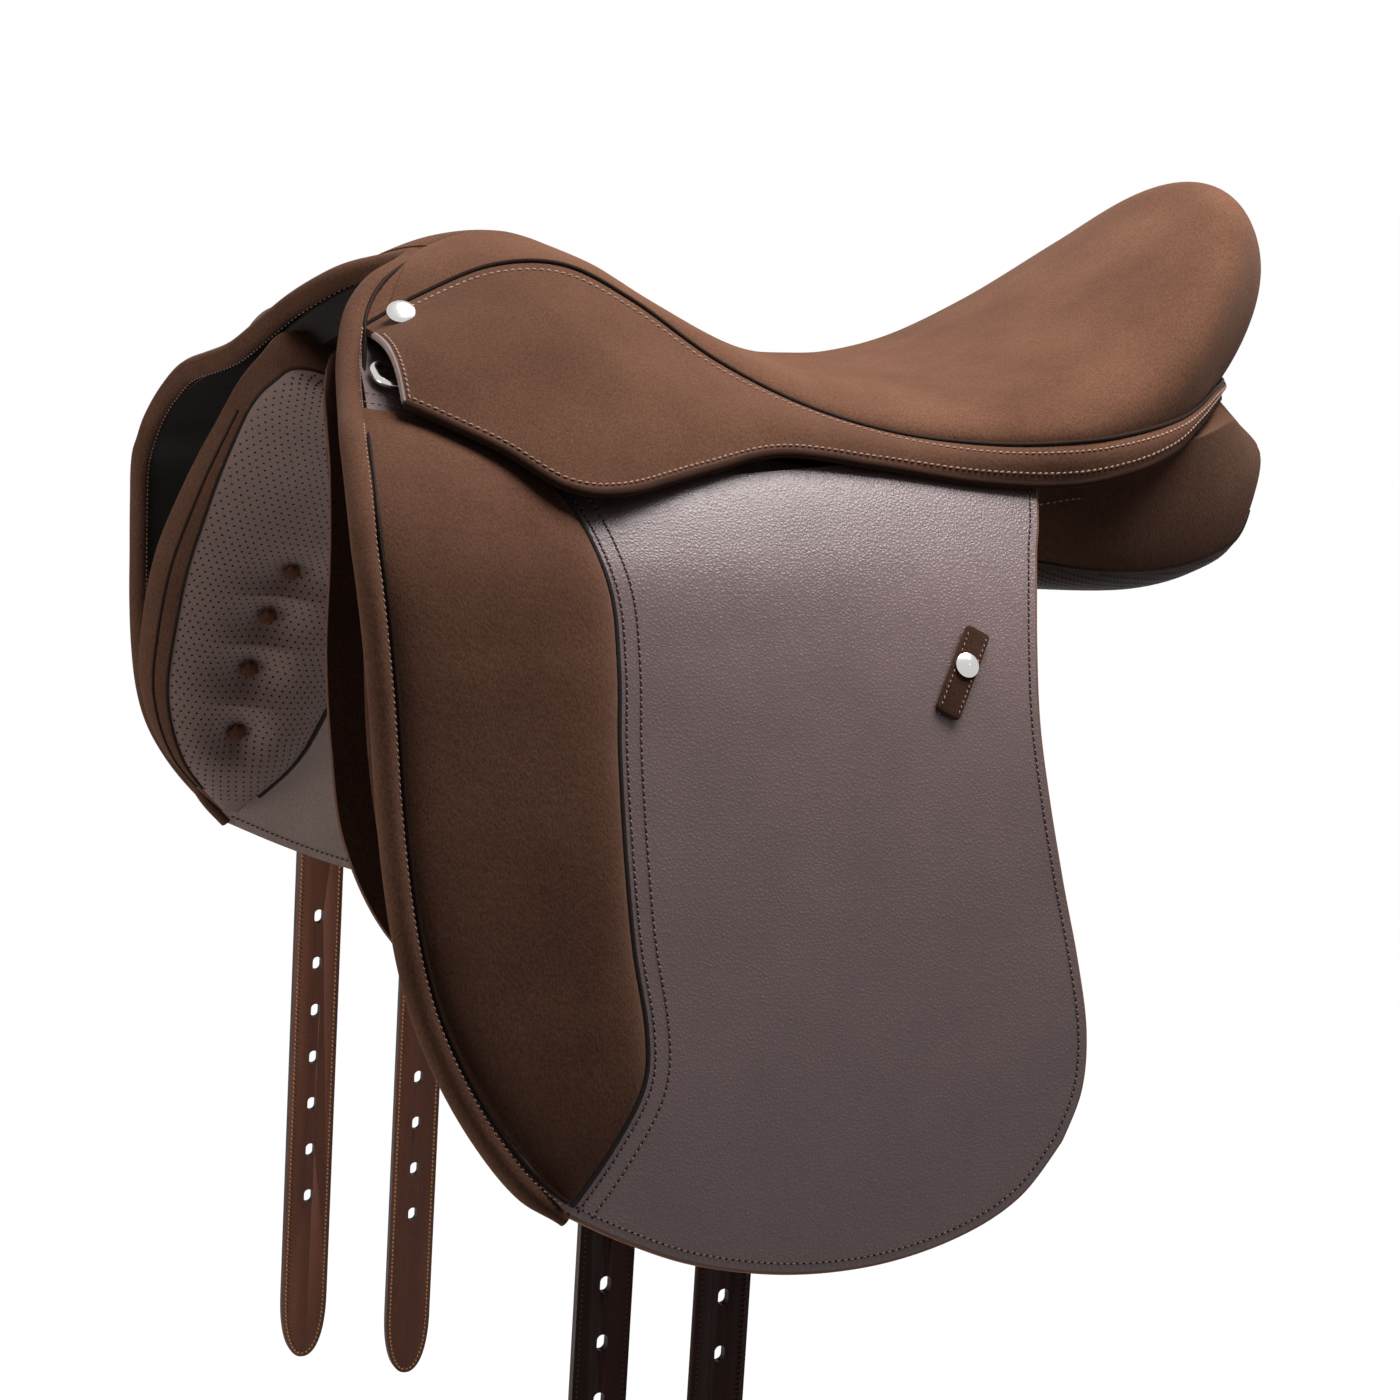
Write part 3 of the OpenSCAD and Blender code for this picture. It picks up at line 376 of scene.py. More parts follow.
def tuft_dent(u, v):
    du, dv = TUFT_REACH
    dents = [np.exp(-(((u * PANEL_SPANS - a) / du) ** 2) - ((v - b) / dv) ** 2) for a, b in TUFTS]
    return TUFT_DEPTH * np.max(dents, 0)


def panel_depth(u, v):
    i = u * PANEL_SPANS
    full = mix(*FULLNESS, smooth(*FULLNESS_AT, i))
    front = np.sqrt(np.clip(1 - (1 - np.clip(i / FRONT_ROUND, 0, 1)) ** 2, 0, 1))
    near_end = np.clip((i - PANEL_SPANS + REAR_ROUND) / REAR_ROUND, 0, 1)
    rear = np.clip(1 - near_end ** REAR_POWER, 0, 1) ** 0.5
    across = np.maximum(1 - np.abs(2 * v - 1) ** full, 0) ** (1 / full)
    return np.maximum(curve(PANEL_DEPTH, u)[..., 0] * front * rear * across, PANEL_MIN)


def panel_dir(u):
    a = np.radians(curve(PANEL_TURN, u)[..., 0])
    lean = REAR_LEAN * smooth(*REAR_LEAN_AT, u * PANEL_SPANS)
    return np.stack([lean, -np.cos(a), -np.sin(a)], -1)


def panel_face(u, v, lift=0.0):
    """Point on the stuffed face, in the frame."""
    depth = panel_depth(u, v)
    q = np.clip(depth / np.maximum(curve(PANEL_DEPTH, u)[..., 0], 6), 0, 1)
    turn = rear_turn(u, q) - rear_turn(u, 0.0)
    p = panel_back(u, v) + (np.maximum(depth - tuft_dent(u, v), PANEL_MIN) + lift)[..., None] * panel_dir(u)
    return place(p + np.stack([turn, 0 * turn, 0 * turn], -1))


# Materials


class Nodes:
    """Short names for the nodes that the materials share."""

    def __init__(self, name, rough, colour=(0.5, 0.5, 0.5), metal=0.0, specular=0.5, sheen=0.0):
        self.material = bpy.data.materials.new(name)
        self.material.use_nodes = True
        self.tree = self.material.node_tree
        self.shader = self.tree.nodes["Principled BSDF"]
        self.set("Roughness", rough)
        self.set("Base Color", (*colour, 1))
        self.set("Metallic", metal)
        self.set("Specular IOR Level", specular)
        self.set("Sheen Weight", sheen)
        self.coords = self.add("ShaderNodeTexCoord").outputs["Object"]

    def add(self, kind, **values):
        """Node with values on its inputs; an underscore stands for a space."""
        node = self.tree.nodes.new(kind)
        for name, value in values.items():
            node.inputs[name.replace("_", " ")].default_value = value
        return node

    def set(self, socket, value):
        self.shader.inputs[socket].default_value = value

    def join(self, a, b):
        self.tree.links.new(a, b)

    def stretch(self, scale):
        node = self.add("ShaderNodeMapping", Scale=scale)
        self.join(self.coords, node.inputs["Vector"])
        return node.outputs["Vector"]

    def noise(self, scale, detail=4.0, rough=0.55, coords=None):
        node = self.add("ShaderNodeTexNoise", Scale=scale, Detail=detail, Roughness=rough)
        self.join(coords or self.coords, node.inputs["Vector"])
        return node.outputs["Fac"]

    def cells(self, scale):
        node = self.add("ShaderNodeTexVoronoi", Scale=scale)
        node.feature = "DISTANCE_TO_EDGE"
        self.join(self.coords, node.inputs["Vector"])
        return node.outputs["Distance"]

    def wave(self, pitch, direction):
        node = self.add("ShaderNodeTexWave", Scale=1.0)
        node.bands_direction = direction
        self.join(self.stretch((1 / pitch, 1 / pitch, 1 / pitch)), node.inputs["Vector"])
        return node.outputs["Fac"]

    def ramp(self, fac, *stops):
        node = self.add("ShaderNodeValToRGB")
        elements = node.color_ramp.elements
        while len(elements) < len(stops):
            elements.new(0.5)
        for element, (at, colour) in zip(elements, stops):
            element.position = at
            element.color = (*colour, 1)
        self.join(fac, node.inputs["Fac"])
        return node.outputs["Color"]

    def multiply(self, a, b, share):
        node = self.add("ShaderNodeMix", Factor=share)
        node.data_type = "RGBA"
        node.blend_type = "MULTIPLY"
        self.join(a, node.inputs[6])
        self.join(b, node.inputs[7])
        return node.outputs[2]

    def span(self, fac, low, high):
        node = self.add("ShaderNodeMapRange", To_Min=low, To_Max=high)
        self.join(fac, node.inputs["Value"])
        return node.outputs["Result"]

    def sum(self, a, b, share):
        node = self.add("ShaderNodeMath")
        node.operation = "MULTIPLY_ADD"
        self.join(b, node.inputs[0])
        node.inputs[1].default_value = share
        self.join(a, node.inputs[2])
        return node.outputs[0]

    def bump(self, height, strength, distance):
        node = self.add("ShaderNodeBump", Strength=strength, Distance=distance)
        self.join(height, node.inputs["Height"])
        self.join(node.outputs["Normal"], self.shader.inputs["Normal"])

    def colour(self, socket):
        self.join(socket, self.shader.inputs["Base Color"])

    def rough(self, socket):
        self.join(socket, self.shader.inputs["Roughness"])


def suede_material(name, dark, light):
    m = Nodes(name, 0.95, specular=0.08, sheen=0.10)
    m.set("Sheen Roughness", 0.55)
    m.set("Sheen Tint", (0.75, 0.55, 0.45, 1))
    nap = m.noise(1100, 2, 0.6, m.stretch((1.0, 1.0, 0.55)))
    tone = m.ramp(m.noise(16, 5, 0.6), (0.3, dark), (0.72, light))
    speck = m.ramp(nap, (0.32, (0.62, 0.60, 0.58)), (0.68, (1.22, 1.2, 1.18)))
    m.colour(m.multiply(tone, speck, 0.75))
    m.bump(m.sum(nap, m.noise(320, 3), 0.8), 0.35, 0.0006)
    return m.material


def grain_material(name, dark, light, rough=(0.36, 0.52), specular=0.45, scale=620, depth=0.3):
    m = Nodes(name, 0.45, specular=specular)
    pebble = m.cells(scale)
    tone = m.ramp(m.noise(22, 5, 0.6), (0.3, dark), (0.7, light))
    crease = m.ramp(pebble, (0.0, (0.80, 0.79, 0.79)), (0.22, (1.03, 1.03, 1.03)))
    m.colour(m.multiply(tone, crease, 0.8))
    m.rough(m.span(m.noise(60, 3), *rough))
    m.bump(m.sum(pebble, m.noise(1500, 2), 0.25), depth, 0.0005)
    return m.material


def strap_material(name, dark, middle, light, specular):
    m = Nodes(name, 0.42, specular=specular)
    streaks = m.noise(60, 5, 0.65, m.stretch((1.0, 1.0, 0.12)))
    tone = m.ramp(streaks, (0.25, dark), (0.5, middle), (0.8, light))
    pores = m.ramp(m.noise(900, 2), (0.35, (0.8, 0.8, 0.8)), (0.6, (1.08, 1.08, 1.08)))
    m.colour(m.multiply(tone, pores, 0.7))
    m.rough(m.span(m.noise(45, 3), 0.34, 0.55))
    m.bump(m.sum(streaks, m.noise(1300, 2), 0.5), 0.22, 0.0005)
    return m.material


def plain_material(name, colour, rough, specular=0.4, bump_scale=900, depth=0.15):
    m = Nodes(name, rough, colour, specular=specular)
    low, high = (tuple(c * k for c in colour) for k in (0.82, 1.15))
    m.colour(m.ramp(m.noise(70, 4), (0.3, low), (0.7, high)))
    m.bump(m.noise(bump_scale, 2), depth, 0.0004)
    return m.material


def thread_material(name, colour, rough=0.7, specular=0.2):
    return plain_material(name, colour, rough, specular, 2500)


def metal_material(name, colour, low, high, scale):
    m = Nodes(name, low, colour, metal=1.0)
    m.rough(m.span(m.noise(scale, 4), low, high))
    m.bump(m.noise(scale * 8, 2), 0.03, 0.0002)
    return m.material


def woven_material(name, dark, light, pitch):
    m = Nodes(name, 0.9, specular=0.2)
    both = m.sum(m.wave(pitch, "Z"), m.wave(pitch, "X"), 1.0)
    m.colour(m.ramp(m.span(both, 0.0, 0.5), (0.1, dark), (0.8, light)))
    m.bump(both, 0.5, 0.0008)
    return m.material


SUEDE = suede_material("suede", (0.121, 0.054, 0.032), (0.188, 0.087, 0.052))
SUEDE_DARK = suede_material("suede_dark", (0.095, 0.043, 0.027), (0.150, 0.071, 0.045))
# Darker copy of the seat suede for the skirts and front rolls: painted shade
SUEDE_SKIRT_SHADE = suede_material("suede_skirt_painted_shade", (0.102, 0.046, 0.028), (0.155, 0.072, 0.044))
# Slightly darker copy of the seat suede for the knee pads: painted shade
SUEDE_PAD_SHADE = suede_material("suede_pad_painted_shade", (0.108, 0.048, 0.030), (0.168, 0.079, 0.050))
KEEPER = suede_material("keeper_suede", (0.050, 0.022, 0.014), (0.085, 0.040, 0.027))
WOOL = suede_material("tuft_wool", (0.09, 0.036, 0.020), (0.16, 0.066, 0.038))
LEATHER = grain_material(
    "flap_leather", (0.160, 0.099, 0.099), (0.200, 0.126, 0.125), (0.32, 0.42), 0.5, 560, 0.55)
SWEAT = grain_material("sweat_leather", (0.44, 0.308, 0.266), (0.53, 0.38, 0.33))
PANEL = grain_material("panel_leather", (0.200, 0.127, 0.106), (0.250, 0.160, 0.134), (0.45, 0.58), 0.3)
# Darker copy of the panel leather for the face's rear underside: painted shade
PANEL_UNDERSIDE_SHADE = grain_material(
    "panel_underside_painted_shade", (0.045, 0.031, 0.027), (0.062, 0.043, 0.038), (0.55, 0.65), 0.06)
BLACK = grain_material("black_leather", (0.014, 0.010, 0.009), (0.023, 0.017, 0.016), (0.6, 0.75), 0.12)
PIPING = grain_material("piping", (0.018, 0.010, 0.007), (0.030, 0.016, 0.011), (0.5, 0.6), 0.05)
# The straps are brown; their outer faces get a nearly black copy of the leather as painted shade
STRAP = strap_material(
    "strap_leather", (0.115, 0.041, 0.023), (0.19, 0.068, 0.040), (0.30, 0.112, 0.063), 0.2)
STRAP_OUTSIDE_SHADE = strap_material(
    "strap_outside", (0.020, 0.008, 0.006), (0.034, 0.013, 0.010), (0.052, 0.021, 0.015), 0.06)
RAW_EDGE = plain_material("raw_edge", (0.26, 0.19, 0.175), 0.8)
EDGE_DARK = plain_material("edge_dark", (0.050, 0.026, 0.018), 0.9, 0.03, 1400, 0.4)
EDGE_PAINT = plain_material("edge_paint", (0.16, 0.066, 0.034), 0.6)
# Near-black discs stand for the insides of holes: painted shade
HOLE = plain_material("hole", (0.012, 0.009, 0.008), 0.9, 0.1)
POLYMER = plain_material("polymer", (0.030, 0.030, 0.033), 0.6)
THREAD = thread_material("thread", (0.44, 0.28, 0.22))
THREAD_MAUVE = thread_material("thread_mauve", (0.28, 0.175, 0.155))
THREAD_DARK = thread_material("thread_dark", (0.045, 0.034, 0.032), 0.75)
THREAD_TAN = thread_material("thread_tan", (0.75, 0.43, 0.19))
THREAD_BROWN = thread_material("thread_brown", (0.085, 0.036, 0.022), specular=0.1)
CHROME = metal_material("chrome", (0.60, 0.585, 0.565), 0.16, 0.26, 40)
STEEL = metal_material("steel", (0.42, 0.43, 0.45), 0.30, 0.45, 60)
WEBBING = woven_material("webbing", (0.16, 0.145, 0.12), (0.40, 0.37, 0.31), 0.0011)


# Meshes
SHARP_ANGLE = 40


def piece(name, points, faces, material, slot, body="saddle", sharp=SHARP_ANGLE):
    mesh = bpy.data.meshes.new(name)
    mesh.from_pydata((np.asarray(points) * MM).tolist(), [], [list(map(int, f)) for f in faces])
    mesh.validate()
    mesh.polygons.foreach_set("use_smooth", [True] * len(mesh.polygons))
    mesh.set_sharp_from_angle(angle=math.radians(sharp))
    for m in material if isinstance(material, (list, tuple)) else [material]:
        mesh.materials.append(m)
    obj = linked(name, mesh)
    if body:
        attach(obj, body)
    return obj


def grid_faces(n, m, base=0, flip=False):
    i, j = np.meshgrid(np.arange(n - 1), np.arange(m - 1), indexing="ij")
    a = base + i * m + j
    quads = np.stack([a + 1, a + m + 1, a + m, a], -1).reshape(-1, 4)
    return quads[:, ::-1] if flip else quads


def shell_mesh(outer, inner):
    """Closed solid between two grids: the outer one's faces come first, then the inner one's, then the rim."""
    n, m = outer.shape[:2]
    k = n * m
    points = np.concatenate([outer.reshape(-1, 3), inner.reshape(-1, 3)])
    ring = np.concatenate([
        np.arange(m - 1), np.arange(n - 1) * m + m - 1,
        n * m - 1 - np.arange(m - 1), (n - 1 - np.arange(n - 1)) * m,
    ])
    after = np.roll(ring, -1)
    rim = np.stack([ring + k, after + k, after, ring], 1)
    return points, np.concatenate([grid_faces(n, m), grid_faces(n, m, k, True), rim])


def turned(faces, side):
    """Faces for a side; mirrored points need them the other way round."""
    return faces if side == "left" else [list(f)[::-1] for f in faces]


def mirrored(points, faces, side):
    return points * FLIP[side], turned(faces, side)


# The off-side flap stands out below its bend, and its lower front curls in
OFF_FLAP_ANGLE = 15
BEND_TOP = 56
BEND_END = 34
CURL_SPAN = 90
CURL_TOP = 40
CURL_DROP = 250
CURL_POWER = 1.1
CURL_BACK = 15
CURL_IN = 26
LOW_LIFT = 9
LOW_LIFT_Z = (-100, -230)


def hung(points, side):
    """Left-hand points of a flap, already in the frame, to their side."""
    if side == "left":
        return points
    p = points * FLIP[side]
    z = p[..., 2]
    a = np.radians(OFF_FLAP_ANGLE) * smooth(BEND_TOP, BEND_END, z)[..., None]
    q = p - [0, FOLD_W, FOLD_Z]
    shared = FOLD_AXIS * (q @ FOLD_AXIS)[..., None]
    q = q * np.cos(a) + np.cross(FOLD_AXIS, q) * np.sin(a) + shared * (1 - np.cos(a))
    front = np.array(FLAP_FRONT)[::-1]
    near = 1 - smooth(0, CURL_SPAN, p[..., 0] - np.interp(z, front[:, 1], front[:, 0]))
    curl = near * np.clip((CURL_TOP - z) / CURL_DROP, 0, 1) ** CURL_POWER
    lift = LOW_LIFT * smooth(*LOW_LIFT_Z, z)
    return q + [0, FOLD_W, FOLD_Z] + np.stack([CURL_BACK * curl, -CURL_IN * curl, lift], -1)


def hung_mesh(points, faces, side):
    return hung(points, side), turned(faces, side)


def on_flap(obj):
    """Bakes the piece's place into its mesh; hung() has already bent its points."""
    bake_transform(obj)


def flap_trim(name, side, mesh, material, slot="leather"):
    on_flap(piece(f"{name}_{side}", *mesh, material, slot, None))


def around(a, b, sides):
    """Points on circles, or ellipses, with the half-axes a and b."""
    angle = 2 * np.pi * np.arange(sides)[:, None] / sides
    return np.cos(angle) * a[..., None, :] + np.sin(angle) * b[..., None, :]


def ring_faces(rings, sides, base=0):
    """Faces between rings of points that follow each other."""
    i, j = np.meshgrid(np.arange(rings - 1), np.arange(sides), indexing="ij")
    a, b = base + i * sides + j, base + i * sides + (j + 1) % sides
    return np.stack([a, b, b + sides, a + sides], -1).reshape(-1, 4).tolist()


def fan(tip, first, sides, end):
    """Faces from a ring to a tip, at the end of the rings or before their start."""
    faces = [[tip, first + (j + 1) % sides, first + j] for j in range(sides)]
    return [f[::-1] for f in faces] if end else faces


TUBE_TIP = 0.4


def tube_mesh(path, r, sides=10):
    """Round tube along a path, closed at its ends; r may change along it."""
    path = np.asarray(path, float)
    n = len(path)
    t = along(path)
    a = unit(np.cross(t, [0.31, 0.17, 0.93]))
    for i in range(1, n):
        a[i] = unit(a[i - 1] - t[i] * np.dot(a[i - 1], t[i]))
    r = np.broadcast_to(np.asarray(r, float), (n,))
    points = (path[:, None] + r[:, None, None] * around(a, np.cross(t, a), sides)).reshape(-1, 3)
    tips = [path[0] - TUBE_TIP * r[0] * t[0], path[-1] + TUBE_TIP * r[-1] * t[-1]]
    last = (n - 1) * sides
    caps = fan(n * sides, 0, sides, False) + fan(n * sides + 1, last, sides, True)
    return np.concatenate([points, tips]), ring_faces(n, sides) + caps


def lathe_mesh(centre, axis, ahead, rings, top, sides, lobes=1.0):
    """Round solid on an axis, from rings of height and radius and a tip at the top."""
    a = unit(np.cross(axis, ahead))
    circle = np.reshape(lobes, (-1, 1)) * around(a, np.cross(axis, a), sides)
    points = np.concatenate([centre + h * axis + r * circle for h, r in rings] + [[centre + top * axis]])
    last = (len(rings) - 1) * sides
    caps = fan(last + sides, last, sides, True) + [list(range(sides - 1, -1, -1))]
    return points, ring_faces(len(rings), sides) + caps


# Stitches: length, gap and width of each kind of row, and the rings of one stitch as place and size
STITCH_SKIRT = (2.4, 0.8, 0.95)
STITCH_FLAP = (1.9, 1.1, 0.85)
STITCH_PATCH = (1.9, 0.9, 0.7)
STITCH_ROLL = (1.9, 0.8, 0.75)
STITCH_SWEAT = (2.0, 1.0, 0.8)
STITCH_PANEL = (2.0, 0.9, 0.75)
STITCH_STRAP = (1.7, 0.7, 0.95)
STITCH_KEEPER = (1.8, 0.8, 0.6)
STITCH_RINGS = [(-1.0, 0.0), (-0.8, 0.62), (-0.3, 1.0), (0.3, 1.0), (0.8, 0.62), (1.0, 0.0)]
STITCH_SIDES = 6
STITCH_HEIGHT = 0.42
STITCH_LIFT = 0.15
STITCH_DIP = 0.35
ROW_LIFT = 0.15
ROW_STEP = 2.0


def stitch_mesh(path, normal, kind, tilt=10):
    """Row of sewn stitches on a path with its surface normals."""
    length, gap, width = kind
    both = even(np.concatenate([path, normal], 1), (length + gap) / 2)
    centre, up = both[1:-1:2, :3], unit(both[1:-1:2, 3:])
    t = unit(both[2::2, :3][: len(centre)] - both[0:-2:2, :3][: len(centre)])
    a = math.radians(tilt)
    run = t * math.cos(a) + unit(np.cross(up, t)) * math.sin(a)
    ring = width * around(unit(np.cross(up, run)) / 2, STITCH_HEIGHT * up, STITCH_SIDES)
    body = []
    for s, k in STITCH_RINGS:
        base = centre + run * (s * length / 2) + up * (STITCH_LIFT - STITCH_DIP * abs(s) ** 3)
        body.append(base[:, None] + k * ring if k else base[:, None])
    points = np.concatenate(body, 1)
    per = points.shape[1]
    tips = fan(0, 1, STITCH_SIDES, False) + fan(per - 1, per - 1 - STITCH_SIDES, STITCH_SIDES, True)
    one = ring_faces(len(STITCH_RINGS) - 2, STITCH_SIDES, 1) + tips
    faces = [[i * per + v for v in f] for i in range(len(centre)) for f in one]
    return points.reshape(-1, 3), faces


def merged(parts):
    points, faces, base = [], [], 0
    for p, f in parts:
        points.append(np.asarray(p))
        faces += [[v + base for v in face] for face in f]
        base += len(p)
    return np.concatenate(points), faces


def sewn(rows, kind):
    """Stitches on several rows of path and normals."""
    return merged([stitch_mesh(path, normal, kind) for path, normal in rows])


def disc_mesh(centre, normal, ahead, r, sides):
    a = unit(np.cross(normal, ahead))
    points = centre[:, None] + r * around(a, np.cross(normal, a), sides)
    return points.reshape(-1, 3), np.arange(len(centre) * sides).reshape(-1, sides).tolist()


NEEDLE_R = 0.5
NEEDLE_LIFT = 0.05


def needle_row(path, normal, kind):
    """Needle holes between the stitches of a row, as dark discs of painted shade."""
    both = even(np.concatenate([path, normal], 1), (kind[0] + kind[1]) / 2)[0::2]
    c, n = both[:, :3], unit(both[:, 3:])
    return disc_mesh(c + NEEDLE_LIFT * n, n, along(c), NEEDLE_R, 8)


def softened(node, material, width, body):
    """Copy of a CAD node with its edges rounded, to stand for it."""
    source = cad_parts[node]
    mesh = source.data.copy()
    mesh.materials.clear()
    mesh.materials.append(material)
    work = bmesh.new()
    work.from_mesh(mesh)
    bmesh.ops.remove_doubles(work, verts=work.verts, dist=1e-6)
    bmesh.ops.dissolve_limit(work, angle_limit=math.radians(1), verts=work.verts, edges=work.edges)
    limit = math.radians(SHARP_ANGLE)
    sharp = [e for e in work.edges if len(e.link_faces) == 2 and e.calc_face_angle() > limit]
    bmesh.ops.bevel(work, geom=sharp, offset=width * MM, segments=2, affect="EDGES", clamp_overlap=True)
    for face in work.faces:
        face.smooth = True
        face.material_index = 0
    work.to_mesh(mesh)
    work.free()
    mesh.set_sharp_from_angle(angle=limit)
    obj = linked(f"{node}_rounded", mesh)
    obj.matrix_world = source.matrix_world
    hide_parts(node)
    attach(obj, body)
    return obj


# Seat, tree and head
TREE_DEPTH = 15.9
TREE_SINK = 5
TREE_T = 7
TREE_SPAN = (0.13, 0.735)
TREE_REACH = 0.76
LINING_REAR_X = -138
LINING_REAR_W = 44
LINING_REAR_Z = 123
LINING_REAR_ARCH = 18


def make_seat():
    layers = [seat_layer(depth, 0, 200, SEAT_ACROSS, SEAT_START, 1, 1) for depth in (0, SEAT_T)]
    seat = piece("seat", *shell_mesh(*layers), SUEDE, "suede")
    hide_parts("seat_cover", "seat_foam")


def make_tree():
    top = seat_layer(TREE_DEPTH, TREE_SINK, 60, 30, *TREE_SPAN, TREE_REACH)
    tree = piece("tree_shell", *shell_mesh(top, top - [0, 0, TREE_T]), POLYMER, "tree")
    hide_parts("tree")


def make_lining():
    """Black leather under the head, from the rim to the tree."""
    v = np.linspace(-1, 1, 61)
    rim = curve(RIM, 0.4 * np.abs(v))

    def under(back, inward, down):
        return np.stack([rim[:, 0] + back, rim[:, 1] * inward * np.sign(v), rim[:, 2] - down], 1)

    first = under(3.8, 0.97, 5)
    second = under(12, 0.94, 18)
    rear_z = LINING_REAR_Z - LINING_REAR_ARCH * v * v
    rear = np.stack([np.full_like(v, LINING_REAR_X), LINING_REAR_W * v, rear_z], 1)
    rows = [mix(first, second, k) for k in np.linspace(0, 1, 7)]
    rows += [mix(second, rear, k) for k in np.linspace(0, 1, 21)[1:]]
    grid = place(np.array(rows))
    mesh = shell_mesh(grid, grid - [0.9, 0, 1.8])
    lining = piece("pommel_lining_leather", *mesh, BLACK, "black_leather")
    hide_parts("pommel_lining")


def make_head():
    """Suede between the front roll and the seat."""
    edge = seat_layer(0.6, 0.6, 1, SEAT_ACROSS, SEAT_START, SEAT_START + 0.02, 1)[0]
    rim = curve(RIM, np.linspace(0, 0.5, 200))
    w = np.abs(edge[:, 1])
    x, z = (np.interp(w, rim[:, 1], rim[:, k]) for k in (0, 2))
    k = np.linspace(0, 1, 9)[:, None, None]
    grid = mix(np.stack([x, edge[:, 1], z], 1)[None], edge[None], k) + np.sin(np.pi * k) * [0, 0, 0.8]
    head = piece("head_suede", *shell_mesh(grid, grid - [0, 0, 1.2]), SUEDE, "suede")
    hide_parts("pommel_roll")


# Skirts with their piping, stitching and rolled edge
SKIRT_TOP_SEAM = 7.0
SKIRT_LOW_SEAM = 3.8


def skirt_row(side, u, v, h):
    du, dv = 0.004, 0.02
    a = skirt_point(u + du, v, 0) - skirt_point(u - du, v, 0)
    b = skirt_point(u, v + dv, 0) - skirt_point(u, v - dv, 0)
    return skirt_point(u, v, h) * FLIP[side], unit(np.cross(b, a)) * FLIP[side]


def make_skirt(side):
    u, v = lattice(200, 26)
    mesh = shell_mesh(skirt_point(u, v, 0), skirt_point(u, v, -SKIRT_T))
    # The skirt takes the darker suede copy, painted shade
    skirt = piece(f"skirt_leather_{side}", *mirrored(*mesh, side), SUEDE_SKIRT_SHADE, "suede")
    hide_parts(f"skirt_{side}")
    t = np.linspace(0, 1, 260)
    edge, _ = skirt_row(side, t, np.full_like(t, 0.995), -1.8)
    piece(f"skirt_rolled_edge_{side}", *tube_mesh(edge, 2.1), EDGE_DARK, "suede")
    seam, _ = skirt_row(side, t, np.zeros_like(t), 0.4)
    piece(f"seat_piping_{side}", *tube_mesh(seam, 1.2), PIPING, "suede")
    width = np.linalg.norm(curve(SKIRT_LOW, t) - curve(SKIRT_SEAM, t), axis=1)
    lines = (
        (t[8:-14], (SKIRT_TOP_SEAM / width)[8:-14]),
        (t[3:-6], (1 - SKIRT_LOW_SEAM / width)[3:-6]),
        (np.full(60, 0.008), np.linspace(0.25, 0.97, 60)),
    )
    rows = [skirt_row(side, a, b, 0.2) for a, b in lines]
    piece(f"skirt_stitches_{side}", *sewn(rows, STITCH_SKIRT), THREAD, "suede")
    raw, _ = skirt_row(side, np.zeros(40), np.linspace(0.2, 0.99, 40), -1.6)
    piece(f"skirt_raw_edge_{side}", *tube_mesh(raw, 1.5, 8), RAW_EDGE, "leather")


# Flaps
FLAP_GRID = (110, 130)
FLAP_SEAM = 3.4
PAD_SEAMS = (4.5, 11.0)
PATCH_SEAMS = (3.0, 6.5)
PAD_WELT = 4
PAD_EDGE = 1.2
PAD_RISE = 7
PAD_SLOPE = (9, 7)
SWEAT_SEAM = 4.0
ROLL_STEP = 2.5
# Seams on the roll: angle from its back to its outside in degrees, half-width at which the seam starts
ROLL_SEAMS = ((40, 48), (-64, 14))
ROLL_END = 22
ROLL_END_SIZE = 0.55
# Piping beside the roll, over these half-widths: from the crease at the head, where the dark tube is painted
# shade of the fold, to a real welt behind the roll
CREASE_SHADE_START = 3
WELT_W = (8, 42, 56)
WELT_BACK = (4.6, 6.2)
WELT_OUT = (4.6, 3.0, 2.8)


def sheet(profile, edges, nu, nv, thick):
    """Leather of a thickness inside four edges, its outside on the profile."""
    p = patch(*edges, *lattice(nu, nv))
    return shell_mesh(over(profile, p, 0), over(profile, p, -thick))


def make_flap(side):
    mesh = sheet(FLAP_PROFILE, (FLAP_TOP, FLAP_BOTTOM, FLAP_LEFT, FLAP_RIGHT), *FLAP_GRID, FLAP_T)
    flap = piece(f"flap_leather_{side}", *hung_mesh(*mesh, side), [LEATHER, BLACK], "leather", None)
    quads = FLAP_GRID[0] * FLAP_GRID[1]
    index = np.zeros(len(flap.data.polygons), int)
    index[quads: 2 * quads] = 1
    flap.data.polygons.foreach_set("material_index", index)
    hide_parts(f"flap_top_{side}", f"flap_{side}")
    on_flap(flap)


def flap_row(side, p, h):
    path = hung(over(FLAP_PROFILE, p, h), side)
    return path, unit(hung(over(FLAP_PROFILE, p, h + 1.0), side) - path)


